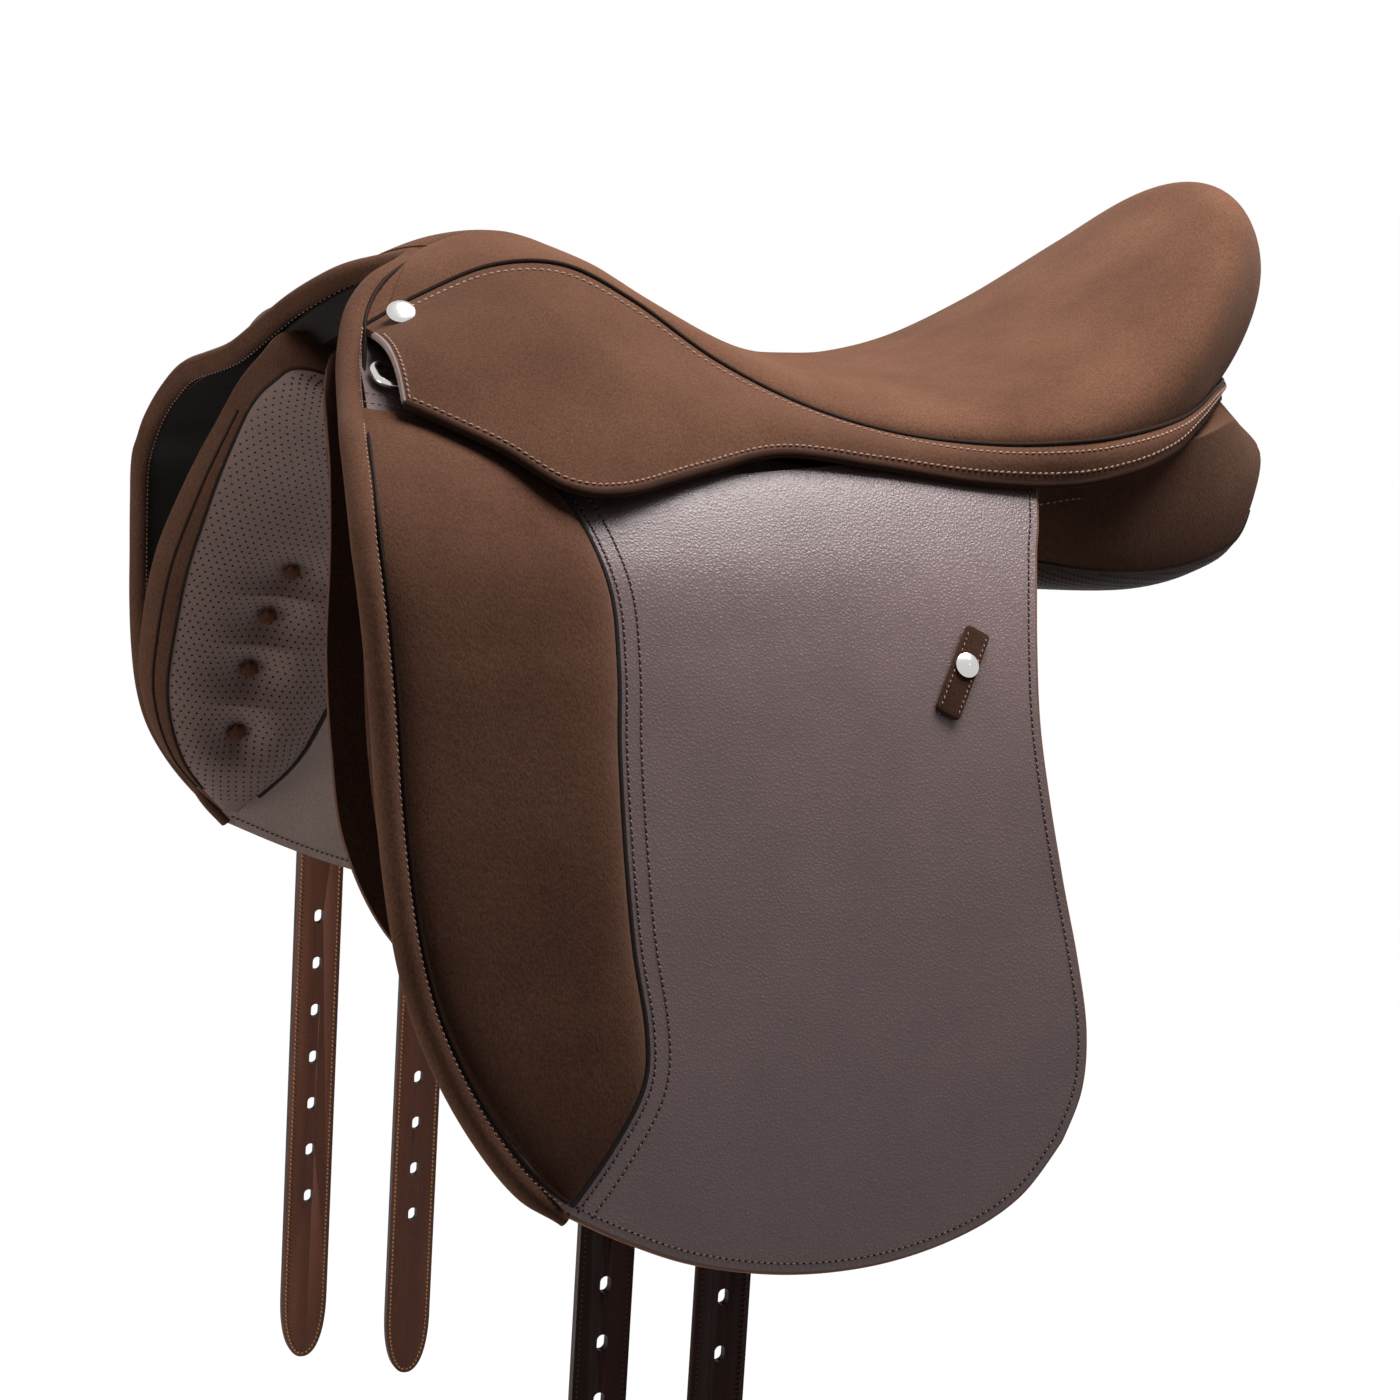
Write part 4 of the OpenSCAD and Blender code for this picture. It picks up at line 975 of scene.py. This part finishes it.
def make_flap_trim(side):
    t = np.linspace(0, 1, 400)
    outline = even(np.concatenate([curve(FLAP_RIGHT, t), curve(FLAP_BOTTOM, t)[::-1][1:]]), ROW_STEP)
    edge_row = flap_row(side, outline - FLAP_SEAM * left_normal(outline), ROW_LIFT)
    flap_trim("flap_stitches", side, stitch_mesh(*edge_row, STITCH_FLAP), THREAD_MAUVE)
    edge, _ = flap_row(side, outline, -FLAP_T / 2)
    flap_trim("flap_edge", side, tube_mesh(edge, 1.9, 8), EDGE_PAINT)
    seam = even(curve(PAD_RIGHT, t), ROW_STEP)
    beside = left_normal(seam)
    welt, _ = flap_row(side, seam + 0.5 * beside, 1.0)
    flap_trim("pad_piping", side, tube_mesh(welt, 1.3), BLACK, "black_leather")
    rows = [flap_row(side, even(seam + off * beside, ROW_STEP), ROW_LIFT) for off in PAD_SEAMS]
    flap_trim("pad_seam_stitches", side, sewn(rows, STITCH_FLAP), THREAD_MAUVE)
    holes = merged([needle_row(*row, STITCH_FLAP) for row in [edge_row] + rows])
    # The needle holes are dark discs of painted shade
    flap_trim("needle_holes", side, holes, HOLE)
    rows = [flap_row(side, even(curve(PAD_TOP, t) + [0, off], ROW_STEP), ROW_LIFT) for off in PATCH_SEAMS]
    flap_trim("dee_patch_stitches", side, sewn(rows, STITCH_PATCH), THREAD)


def pad_height(u, v):
    p = [patch(*PAD_EDGES, np.full_like(v, k), v) for k in (0.0, 1.0)]
    width = np.linalg.norm(p[1] - p[0], axis=-1)
    rise = 1 - np.exp(-np.maximum(u * width - PAD_WELT, 0) / PAD_SLOPE[0])
    fall = 1 - np.exp(-(1 - u) * width / PAD_SLOPE[1])
    ends = np.maximum(np.sin(np.pi * np.clip(v, 0, 1)), 0) ** 0.3
    return PAD_EDGE + PAD_RISE * rise * fall * ends


def make_knee_pad(side):
    u, v = lattice(80, 140)
    u = u ** 1.3
    p = patch(*PAD_EDGES, u, v)
    mesh = shell_mesh(over(FLAP_PROFILE, p, pad_height(u, v)), over(FLAP_PROFILE, p, 0.25))
    # The knee pad takes the darker suede copy, painted shade
    pad = piece(f"knee_pad_suede_{side}", *hung_mesh(*mesh, side), SUEDE_PAD_SHADE, "suede", None)
    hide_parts(f"knee_pad_top_{side}", f"knee_pad_{side}")
    on_flap(pad)


def make_front_roll(side):
    front = curve(FLAP_FRONT, np.linspace(0.02, 1, 160))
    rim = place(curve(RIM, np.linspace(0, 1, 160)))
    path = even(np.concatenate([rim, over(FLAP_PROFILE, front, -1)]), ROLL_STEP)
    for _ in range(6):
        path[1:-1] = 0.25 * path[:-2] + 0.5 * path[1:-1] + 0.25 * path[2:]
    w = np.abs(path[:, 1])
    run = along(path)
    out = np.stack([np.zeros_like(w), path[:, 1], np.maximum(path[:, 2] - 50, 10)], 1)
    out = unit(out - run * (out * run).sum(1, keepdims=True))
    back = unit(np.cross(run, out))
    back = back * np.where(back[:, :1] < 0, -1, 1)
    left = np.arange(len(path))[::-1] * ROLL_STEP
    mesh = tube_mesh(path, ROLL_R * mix(ROLL_END_SIZE, 1, smooth(0, ROLL_END, left)), 18)
    # The roll takes the darker suede copy, painted shade
    roll = piece(f"front_roll_{side}", *hung_mesh(*mesh, side), SUEDE_SKIRT_SHADE, "suede", None)
    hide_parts(f"flap_roll_{side}", "pommel_roll")
    on_flap(roll)
    rows = []
    for angle, start in ROLL_SEAMS:
        n = back * math.cos(math.radians(angle)) + out * math.sin(math.radians(angle))
        row = hung(path + ROLL_R * n, side)
        n = unit(hung(path + (ROLL_R + 1) * n, side) - row)
        first = int(np.argmax(w > start))
        rows.append((row[first:-2], n[first:-2]))
    flap_trim("roll_stitches", side, sewn(rows, STITCH_ROLL), THREAD, "suede")
    # Near the head the dark tube lies in the crease as painted shade; further down it is the welt
    crease = WELT_BACK[0] * back + mix(*WELT_OUT[:2], smooth(*WELT_W[:2], w))[:, None] * out
    beside = WELT_BACK[1] * back + WELT_OUT[2] * out
    welt = hung(path + mix(crease, beside, smooth(*WELT_W[1:], w)[:, None]), side)
    first = int(np.argmax(w > CREASE_SHADE_START))
    flap_trim("roll_piping_and_crease_shade", side, tube_mesh(welt[first:-2], 1.0, 8), PIPING, "suede")


def make_sweat_flap(side):
    mesh = sheet(SWEAT_PROFILE, (SWEAT_TOP, SWEAT_BOTTOM, SWEAT_LEFT, SWEAT_RIGHT), 80, 90, SWEAT_T)
    flap = piece(f"sweat_leather_{side}", *mirrored(*mesh, side), SWEAT, "leather")
    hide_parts(f"sweat_flap_{side}")
    t = np.linspace(0, 1, 300)
    outline = even(np.concatenate([curve(SWEAT_RIGHT, t), curve(SWEAT_BOTTOM, t)[::-1]]), ROW_STEP)
    inner = outline - SWEAT_SEAM * left_normal(outline)
    n = facing(SWEAT_PROFILE, inner) * FLIP[side]
    outside, inside = (over(SWEAT_PROFILE, inner, h) * FLIP[side] for h in (ROW_LIFT, -SWEAT_T - ROW_LIFT))
    mesh = sewn([(outside, n), (inside, -n)], STITCH_SWEAT)
    piece(f"sweat_stitches_{side}", *mesh, THREAD_DARK, "leather")
    front = over(SWEAT_PROFILE, curve(SWEAT_LEFT, t), -SWEAT_T / 2) * FLIP[side]
    piece(f"sweat_binding_{side}", *tube_mesh(even(front, 3.0), 3.0), SUEDE_DARK, "suede")


def make_knee_block(side):
    u, v = lattice(40, 80)
    p = patch(BLOCK_TOP, BLOCK_BOTTOM, BLOCK_LEFT, BLOCK_RIGHT, u, v)
    crown = np.maximum(np.sin(np.pi * u) * np.sin(np.pi * v), 0) ** 0.45
    top = over(SWEAT_PROFILE, p, mix(BLOCK_RIM, BLOCK_T, crown))
    mesh = mirrored(*shell_mesh(top, over(SWEAT_PROFILE, p, 0.5)), side)
    block = piece(f"knee_block_cover_{side}", *mesh, BLACK, "black_leather")
    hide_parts(f"knee_block_{side}")


# Panels
PANEL_GRID = (260, 64)
LOBE_SHARE = 0.32
# Span from which the panel's face takes the darker copy of its leather, painted shade on its underside
PAINTED_SHADE_FROM = 8.5
FACE_FROM = (0.11, 0.022)
FACE_FROM_AT = (3, 7)
FACE_TO = (0.975, 0.945)
FACE_TO_AT = (6, 9)
HOLE_ROW = 3.5
HOLE_STEP = 4.0
HOLE_R = 0.62
HOLE_LIFT = 0.06
HOLE_MARGIN = 0.012
TUFT_RINGS = [(-1.6, 2.6), (-0.4, 3.8), (0.6, 4.4), (1.4, 3.6), (1.8, 1.6)]
TUFT_TOP = 1.9
TUFT_LIFT = 2.4
TUFT_SIDES = 24
TUFT_LOBES = 1 + 0.12 * np.cos(6 * 2 * np.pi * np.arange(TUFT_SIDES) / TUFT_SIDES)


def face_from(u):
    """Share of the width at which the perforated face starts."""
    return mix(*FACE_FROM, smooth(*FACE_FROM_AT, u * PANEL_SPANS))


def face_to(u):
    return mix(*FACE_TO, smooth(*FACE_TO_AT, u * PANEL_SPANS))


def make_panel(side):
    k, j = lattice(*PANEL_GRID)
    # Half of the rows lie on the lobe
    u = np.interp(k, [0, 0.5, 1], [0, LOBE_SHARE, 1])
    v = 0.5 - 0.5 * np.cos(np.pi * j)
    mesh = mirrored(*shell_mesh(place(panel_back(u, v)), panel_face(u, v)), side)
    materials = [SUEDE_DARK, PANEL, PANEL_UNDERSIDE_SHADE]
    panel = piece(f"panel_cover_{side}", *mesh, materials, "perforated", sharp=120)
    quads = PANEL_GRID[0] * PANEL_GRID[1]
    au, av = (0.25 * (q[:-1, :-1] + q[1:, :-1] + q[:-1, 1:] + q[1:, 1:]) for q in (u, v))
    index = np.zeros(len(panel.data.polygons), int)
    on_face = (av > face_from(au)) & (av < face_to(au))
    # Past that span the perforated face turns under and takes the darker copy: painted shade
    index[quads: 2 * quads] = (on_face * np.where(au * PANEL_SPANS > PAINTED_SHADE_FROM, 2, 1)).reshape(-1)
    panel.data.polygons.foreach_set("material_index", index)
    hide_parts(f"panel_{side}")
    flip = FLIP[side]
    t = np.linspace(0.035, 0.955, 500)
    seams = (
        (panel_face(t, face_from(t), 0.1), 0.8),
        (panel_face(t, face_to(t), 0.1), 0.8),
        (panel_face(t[:200], 0.42 * face_from(t[:200]), 0.1), 0.7),
    )
    lines = [tube_mesh(even(seam * flip, 3.0), r, 8) for seam, r in seams]
    piece(f"panel_seams_{side}", *merged(lines), PIPING, "black_leather")
    t = np.linspace(0.025, 0.40, 200)
    edge = panel_face(t, np.full_like(t, 0.99), 0.3) * flip
    piece(f"panel_piping_{side}", *tube_mesh(even(edge, 3.0), 2.1), BLACK, "black_leather")
    t = np.linspace(0.60, 0.715, 120)
    row = panel_face(t, mix(0.9982, 0.9997, smooth(0.62, 0.715, t)), 0.2) * flip
    n = np.tile([0.0, OUTWARD[side], 0.0], (len(t), 1))
    piece(f"panel_stitches_{side}", *stitch_mesh(row, n, STITCH_PANEL), THREAD, "suede")
    # The perforations are dark discs of painted shade
    piece(f"panel_holes_{side}", *panel_holes(flip), HOLE, "perforated")


def panel_holes(flip):
    """Small dark discs in staggered rows on the panel's face, painted shade for the holes."""
    t = np.linspace(0.02, 0.965, 900)
    length = run_length(panel_face(t, np.full_like(t, 0.5)))
    centres, normals = [], []
    for k, at in enumerate(np.arange(2, length[-1], HOLE_ROW)):
        u = float(np.interp(at, length, t))
        v = np.linspace(float(face_from(u)) + HOLE_MARGIN, float(face_to(u)) - HOLE_MARGIN, 160)
        width = run_length(panel_face(np.full_like(v, u), v))
        v = np.interp(np.arange(1 + (k % 2) * HOLE_STEP / 2, width[-1], HOLE_STEP), width, v)
        u = np.full_like(v, u)
        a = panel_face(u + 0.002, v) - panel_face(u - 0.002, v)
        b = panel_face(u, v + 0.006) - panel_face(u, v - 0.006)
        n = unit(np.cross(a, b))
        n = n * np.where((n * place(panel_dir(u))).sum(1, keepdims=True) < 0, -1, 1)
        centres.append(panel_face(u, v) + HOLE_LIFT * n)
        normals.append(n)
    c, n = np.concatenate(centres) * flip, np.concatenate(normals) * flip
    return disc_mesh(c, n, [0.2, 0.3, 0.9], HOLE_R, 6)


def make_tufts(side):
    parts = []
    for a, b in TUFTS:
        u, v = np.array([a / PANEL_SPANS]), np.array([b])
        centre = panel_face(u, v, TUFT_LIFT)[0] * FLIP[side]
        axis = place(panel_dir(u))[0] * FLIP[side]
        ahead = [0.2, 0.1, 1.0]
        parts.append(lathe_mesh(centre, axis, ahead, TUFT_RINGS, TUFT_TOP, TUFT_SIDES, TUFT_LOBES))
    tufts = piece(f"tuft_buttons_{side}", *merged(parts), WOOL, "strap")
    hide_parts(f"tufts_{side}")


# Girth straps as x, half-width of the inner face and z of the tip, with the outline of their tips
STRAPS = {"front": (-163, 199, -460), "rear": (-105, 193.5, -474)}
STRAP_T = 4
STRAP_R = 12.5
STRAP_TAPER = 37.5
STRAP_TOP = -122
STRAP_SEAM = 2.1
STRAP_LIFT = 0.05
STRAP_TILT = 16


def strap_line(tip):
    """Seam inside a strap's edge as [x, z]: down one side, round the tip and up the other."""
    a = np.radians(np.linspace(180, 360, 121))
    c, s = np.cos(a), np.abs(np.sin(a))
    bend = np.stack([STRAP_R * np.sign(c) * np.abs(c) ** 0.9, tip + STRAP_TAPER * (1 - s ** 0.8)], 1)
    line = even(np.concatenate([[[-STRAP_R, STRAP_TOP]], bend, [[STRAP_R, STRAP_TOP]]]), 1.5)
    return line + STRAP_SEAM * left_normal(line)


def make_strap(side, end):
    body = f"{side}_{end}_strap"
    strap = softened(f"billet_{end}_{side}", STRAP, 0.7, body)
    strap.data.materials.append(STRAP_OUTSIDE_SHADE)
    # Every face but the inner one takes the nearly black copy: painted shade
    for face in strap.data.polygons:
        face.material_index = int(face.normal.y * OUTWARD[side] > -0.5)
    x, w, tip = STRAPS[end]
    line = strap_line(tip)
    rows = []
    for half_width, way in ((w + STRAP_T + STRAP_LIFT, 1), (w - STRAP_LIFT, -1)):
        path = np.stack([x + line[:, 0], np.full(len(line), half_width * OUTWARD[side]), line[:, 1]], 1)
        n = np.tile([0.0, way * OUTWARD[side], 0.0], (len(line), 1))
        rows.append(stitch_mesh(path, n, STITCH_STRAP, STRAP_TILT))
    threads = [THREAD_BROWN, THREAD_TAN]
    stitches = piece(f"billet_{end}_stitches_{side}", *merged(rows), threads, "strap", body)
    index = np.concatenate([np.full(len(faces), k) for k, (_, faces) in enumerate(rows)])
    stitches.data.polygons.foreach_set("material_index", index)


# Keeper on the flap: rings as height over the flap and inset from the outline
KEEPER_AT = np.array([-1.0, -11.0])
KEEPER_ANGLE = 60
KEEPER_L = 43
KEEPER_W = 12
KEEPER_CORNER = 2
KEEPER_TOP = 2.95
KEEPER_SEAM = 1.6
KEEPER_RINGS = [(0.65, 0.0), (2.2, 0.0), (2.65, 0.25), (2.85, 0.8)]


def keeper_axes():
    n = facing(FLAP_PROFILE, KEEPER_AT)
    a = math.radians(KEEPER_ANGLE)
    run = np.array([math.cos(a), 0, 0]) + math.sin(a) * np.cross(n, [1.0, 0, 0])
    return n, run, np.cross(n, run)


def make_keeper(side):
    n, run, wide = keeper_axes()
    angle = np.radians(np.add.outer([0, 90, 180, 270], [0, 30, 60, 90]).ravel())
    bend = np.stack([np.cos(angle), np.sin(angle)], 1)
    reach = np.array([KEEPER_L, KEEPER_W]) / 2 - KEEPER_CORNER
    corners = np.repeat([[1, 1], [-1, 1], [-1, -1], [1, -1]], 4, 0) * reach
    loops = []
    for h, inset in KEEPER_RINGS:
        outline = corners + (KEEPER_CORNER - inset) * bend
        loops.append(over(FLAP_PROFILE, KEEPER_AT, h) + outline @ np.stack([run, wide]))
    points = np.concatenate(loops)
    count = len(angle)
    faces = ring_faces(len(KEEPER_RINGS), count)
    faces += [list(range(count - 1, -1, -1)), list(range(len(points) - count, len(points)))]
    mesh = hung_mesh(points, faces, side)
    keeper = piece(f"keeper_suede_{side}", *mesh, KEEPER, "suede", f"{side}_flap")
    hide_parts(f"keeper_{side}")
    k = np.linspace(-reach[0], reach[0], 30)[:, None]
    rows = []
    for s in (-1, 1):
        path = over(FLAP_PROFILE, KEEPER_AT, KEEPER_TOP) + k * run + s * (KEEPER_W / 2 - KEEPER_SEAM) * wide
        at = hung(path, side)
        rows.append((at, unit(hung(path + n, side) - at)))
    piece(f"keeper_stitches_{side}", *sewn(rows, STITCH_KEEPER), THREAD, "suede", f"{side}_flap")


# Metal and small pieces
STUD_FACING = unit(np.array([-0.20, -0.66, 0.72]))
STUD_RINGS = [(-4.0, 4.0), (-0.4, 5.4), (0.0, 6.25), (0.7, 6.25), (1.3, 5.7), (1.7, 4.2), (1.95, 2.0)]
STUD_TOP = 2.05
STUD_LIFT = 3.0


def make_stud(side):
    node = f"skirt_stud_{side}"
    low, high = (np.array(corner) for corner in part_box(node))
    axis = STUD_FACING * FLIP[side]
    centre = (low + high) / 2 / MM + STUD_LIFT * axis
    mesh = lathe_mesh(centre, axis, [1.0, 0, 0], STUD_RINGS, STUD_TOP, 40)
    stud = piece(f"stud_cap_{side}", *mesh, CHROME, "chrome")
    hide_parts(node)


def paint(node, material):
    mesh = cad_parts[node].data
    mesh.materials.clear()
    mesh.materials.append(material)


def make_metal(side):
    softened(f"stirrup_bar_{side}", STEEL, 0.5, "saddle")
    softened(f"stirrup_catch_{side}", STEEL, 0.5, f"{side}_catch")
    softened(f"dee_tab_{side}", PIPING, 0.8, "saddle")
    make_stud(side)
    for node in ("keeper_button", "dee_ring", "stirrup_rivets"):
        paint(f"{node}_{side}", CHROME)
    for node in ("girth_web_front", "girth_web_rear"):
        paint(f"{node}_{side}", WEBBING)


# Stage
FLOOR_Z = -0.8
FLOOR_R = 30
FLOOR_GREY = 0.5
FLOOR_SHADOW = 0.12
FLOOR_GLOW = 0.99
WORLD_LIGHT = 0.045


def shown_rays(tree):
    """1 for rays on which the white background shows."""
    path = tree.nodes.new("ShaderNodeLightPath")
    shown = path.outputs["Is Camera Ray"]
    for kind in ("Is Glossy Ray", "Is Transmission Ray"):
        node = tree.nodes.new("ShaderNodeMath")
        node.operation = "MAXIMUM"
        tree.links.new(shown, node.inputs[0])
        tree.links.new(path.outputs[kind], node.inputs[1])
        shown = node.outputs[0]
    return shown


def make_stage():
    mesh = bpy.data.meshes.new("floor")
    corners = [(x * FLOOR_R, y * FLOOR_R, FLOOR_Z) for x, y in ((-1, -1), (1, -1), (1, 1), (-1, 1))]
    mesh.from_pydata(corners, [], [(0, 1, 2, 3)])
    linked("floor", mesh)
    material = bpy.data.materials.new("floor")
    material.use_nodes = True
    tree = material.node_tree
    tree.nodes.clear()
    kinds = ("BsdfDiffuse", "BsdfDiffuse", "Emission", "AddShader", "MixShader", "OutputMaterial")
    pale, faint, glow, seen, both, out = (tree.nodes.new(f"ShaderNode{kind}") for kind in kinds)
    for node, grey in ((pale, FLOOR_GREY), (faint, FLOOR_SHADOW)):
        node.inputs["Color"].default_value = (grey, grey, grey, 1)
    glow.inputs["Strength"].default_value = FLOOR_GLOW
    for a, b in (
        (glow.outputs[0], seen.inputs[0]), (faint.outputs[0], seen.inputs[1]),
        (shown_rays(tree), both.inputs[0]), (pale.outputs[0], both.inputs[1]),
        (seen.outputs[0], both.inputs[2]), (both.outputs[0], out.inputs[0]),
    ):
        tree.links.new(a, b)
    mesh.materials.append(material)


def make_world():
    world = bpy.data.worlds.new("studio")
    bpy.context.scene.world = world
    world.use_nodes = True
    tree = world.node_tree
    background = tree.nodes["Background"]
    background.inputs["Color"].default_value = (1, 1, 1, 1)
    level = tree.nodes.new("ShaderNodeMapRange")
    level.inputs["To Min"].default_value = WORLD_LIGHT
    level.inputs["To Max"].default_value = 1.0
    tree.links.new(shown_rays(tree), level.inputs["Value"])
    tree.links.new(level.outputs["Result"], background.inputs["Strength"])


def area_light(name, spot, target, size, watts):
    data = bpy.data.lights.new(name, "AREA")
    data.shape = "RECTANGLE"
    data.size, data.size_y = size
    data.energy = watts
    back = unit(np.array(spot, float) - np.array(target, float))
    side = unit(np.cross([0, 1, 0.01], back))
    aim(linked(name, data), spot, side, np.cross(back, side), back)


def make_lights():
    area_light("overhead", (0.28, -0.18, 1.02), (0.05, -0.05, 0.1), (0.9, 0.6), 21)
    area_light("front", (-1.5, -0.05, -0.2), (-0.2, 0.1, 0), (0.6, 0.6), 7.5)
    area_light("rear_right", (1.3, 1.0, 1.0), (0, 0, 0), (0.8, 0.8), 1.8)


ON_EACH_SIDE = (
    make_skirt, make_flap, make_flap_trim, make_knee_pad, make_front_roll,
    make_sweat_flap, make_knee_block, make_panel, make_tufts,
)
for make in (make_seat, make_tree, make_lining, make_head):
    make()
for side_name in SIDES:
    for make in ON_EACH_SIDE:
        make(side_name)
for side_name in SIDES:
    for end_name in STRAPS:
        make_strap(side_name, end_name)
for side_name in SIDES:
    make_metal(side_name)
    make_keeper(side_name)
paint("gullet_plate", STEEL)
paint("seat_webbing", WEBBING)
make_stage()
make_world()
make_lights()
bpy.context.scene.view_settings.view_transform = "Standard"
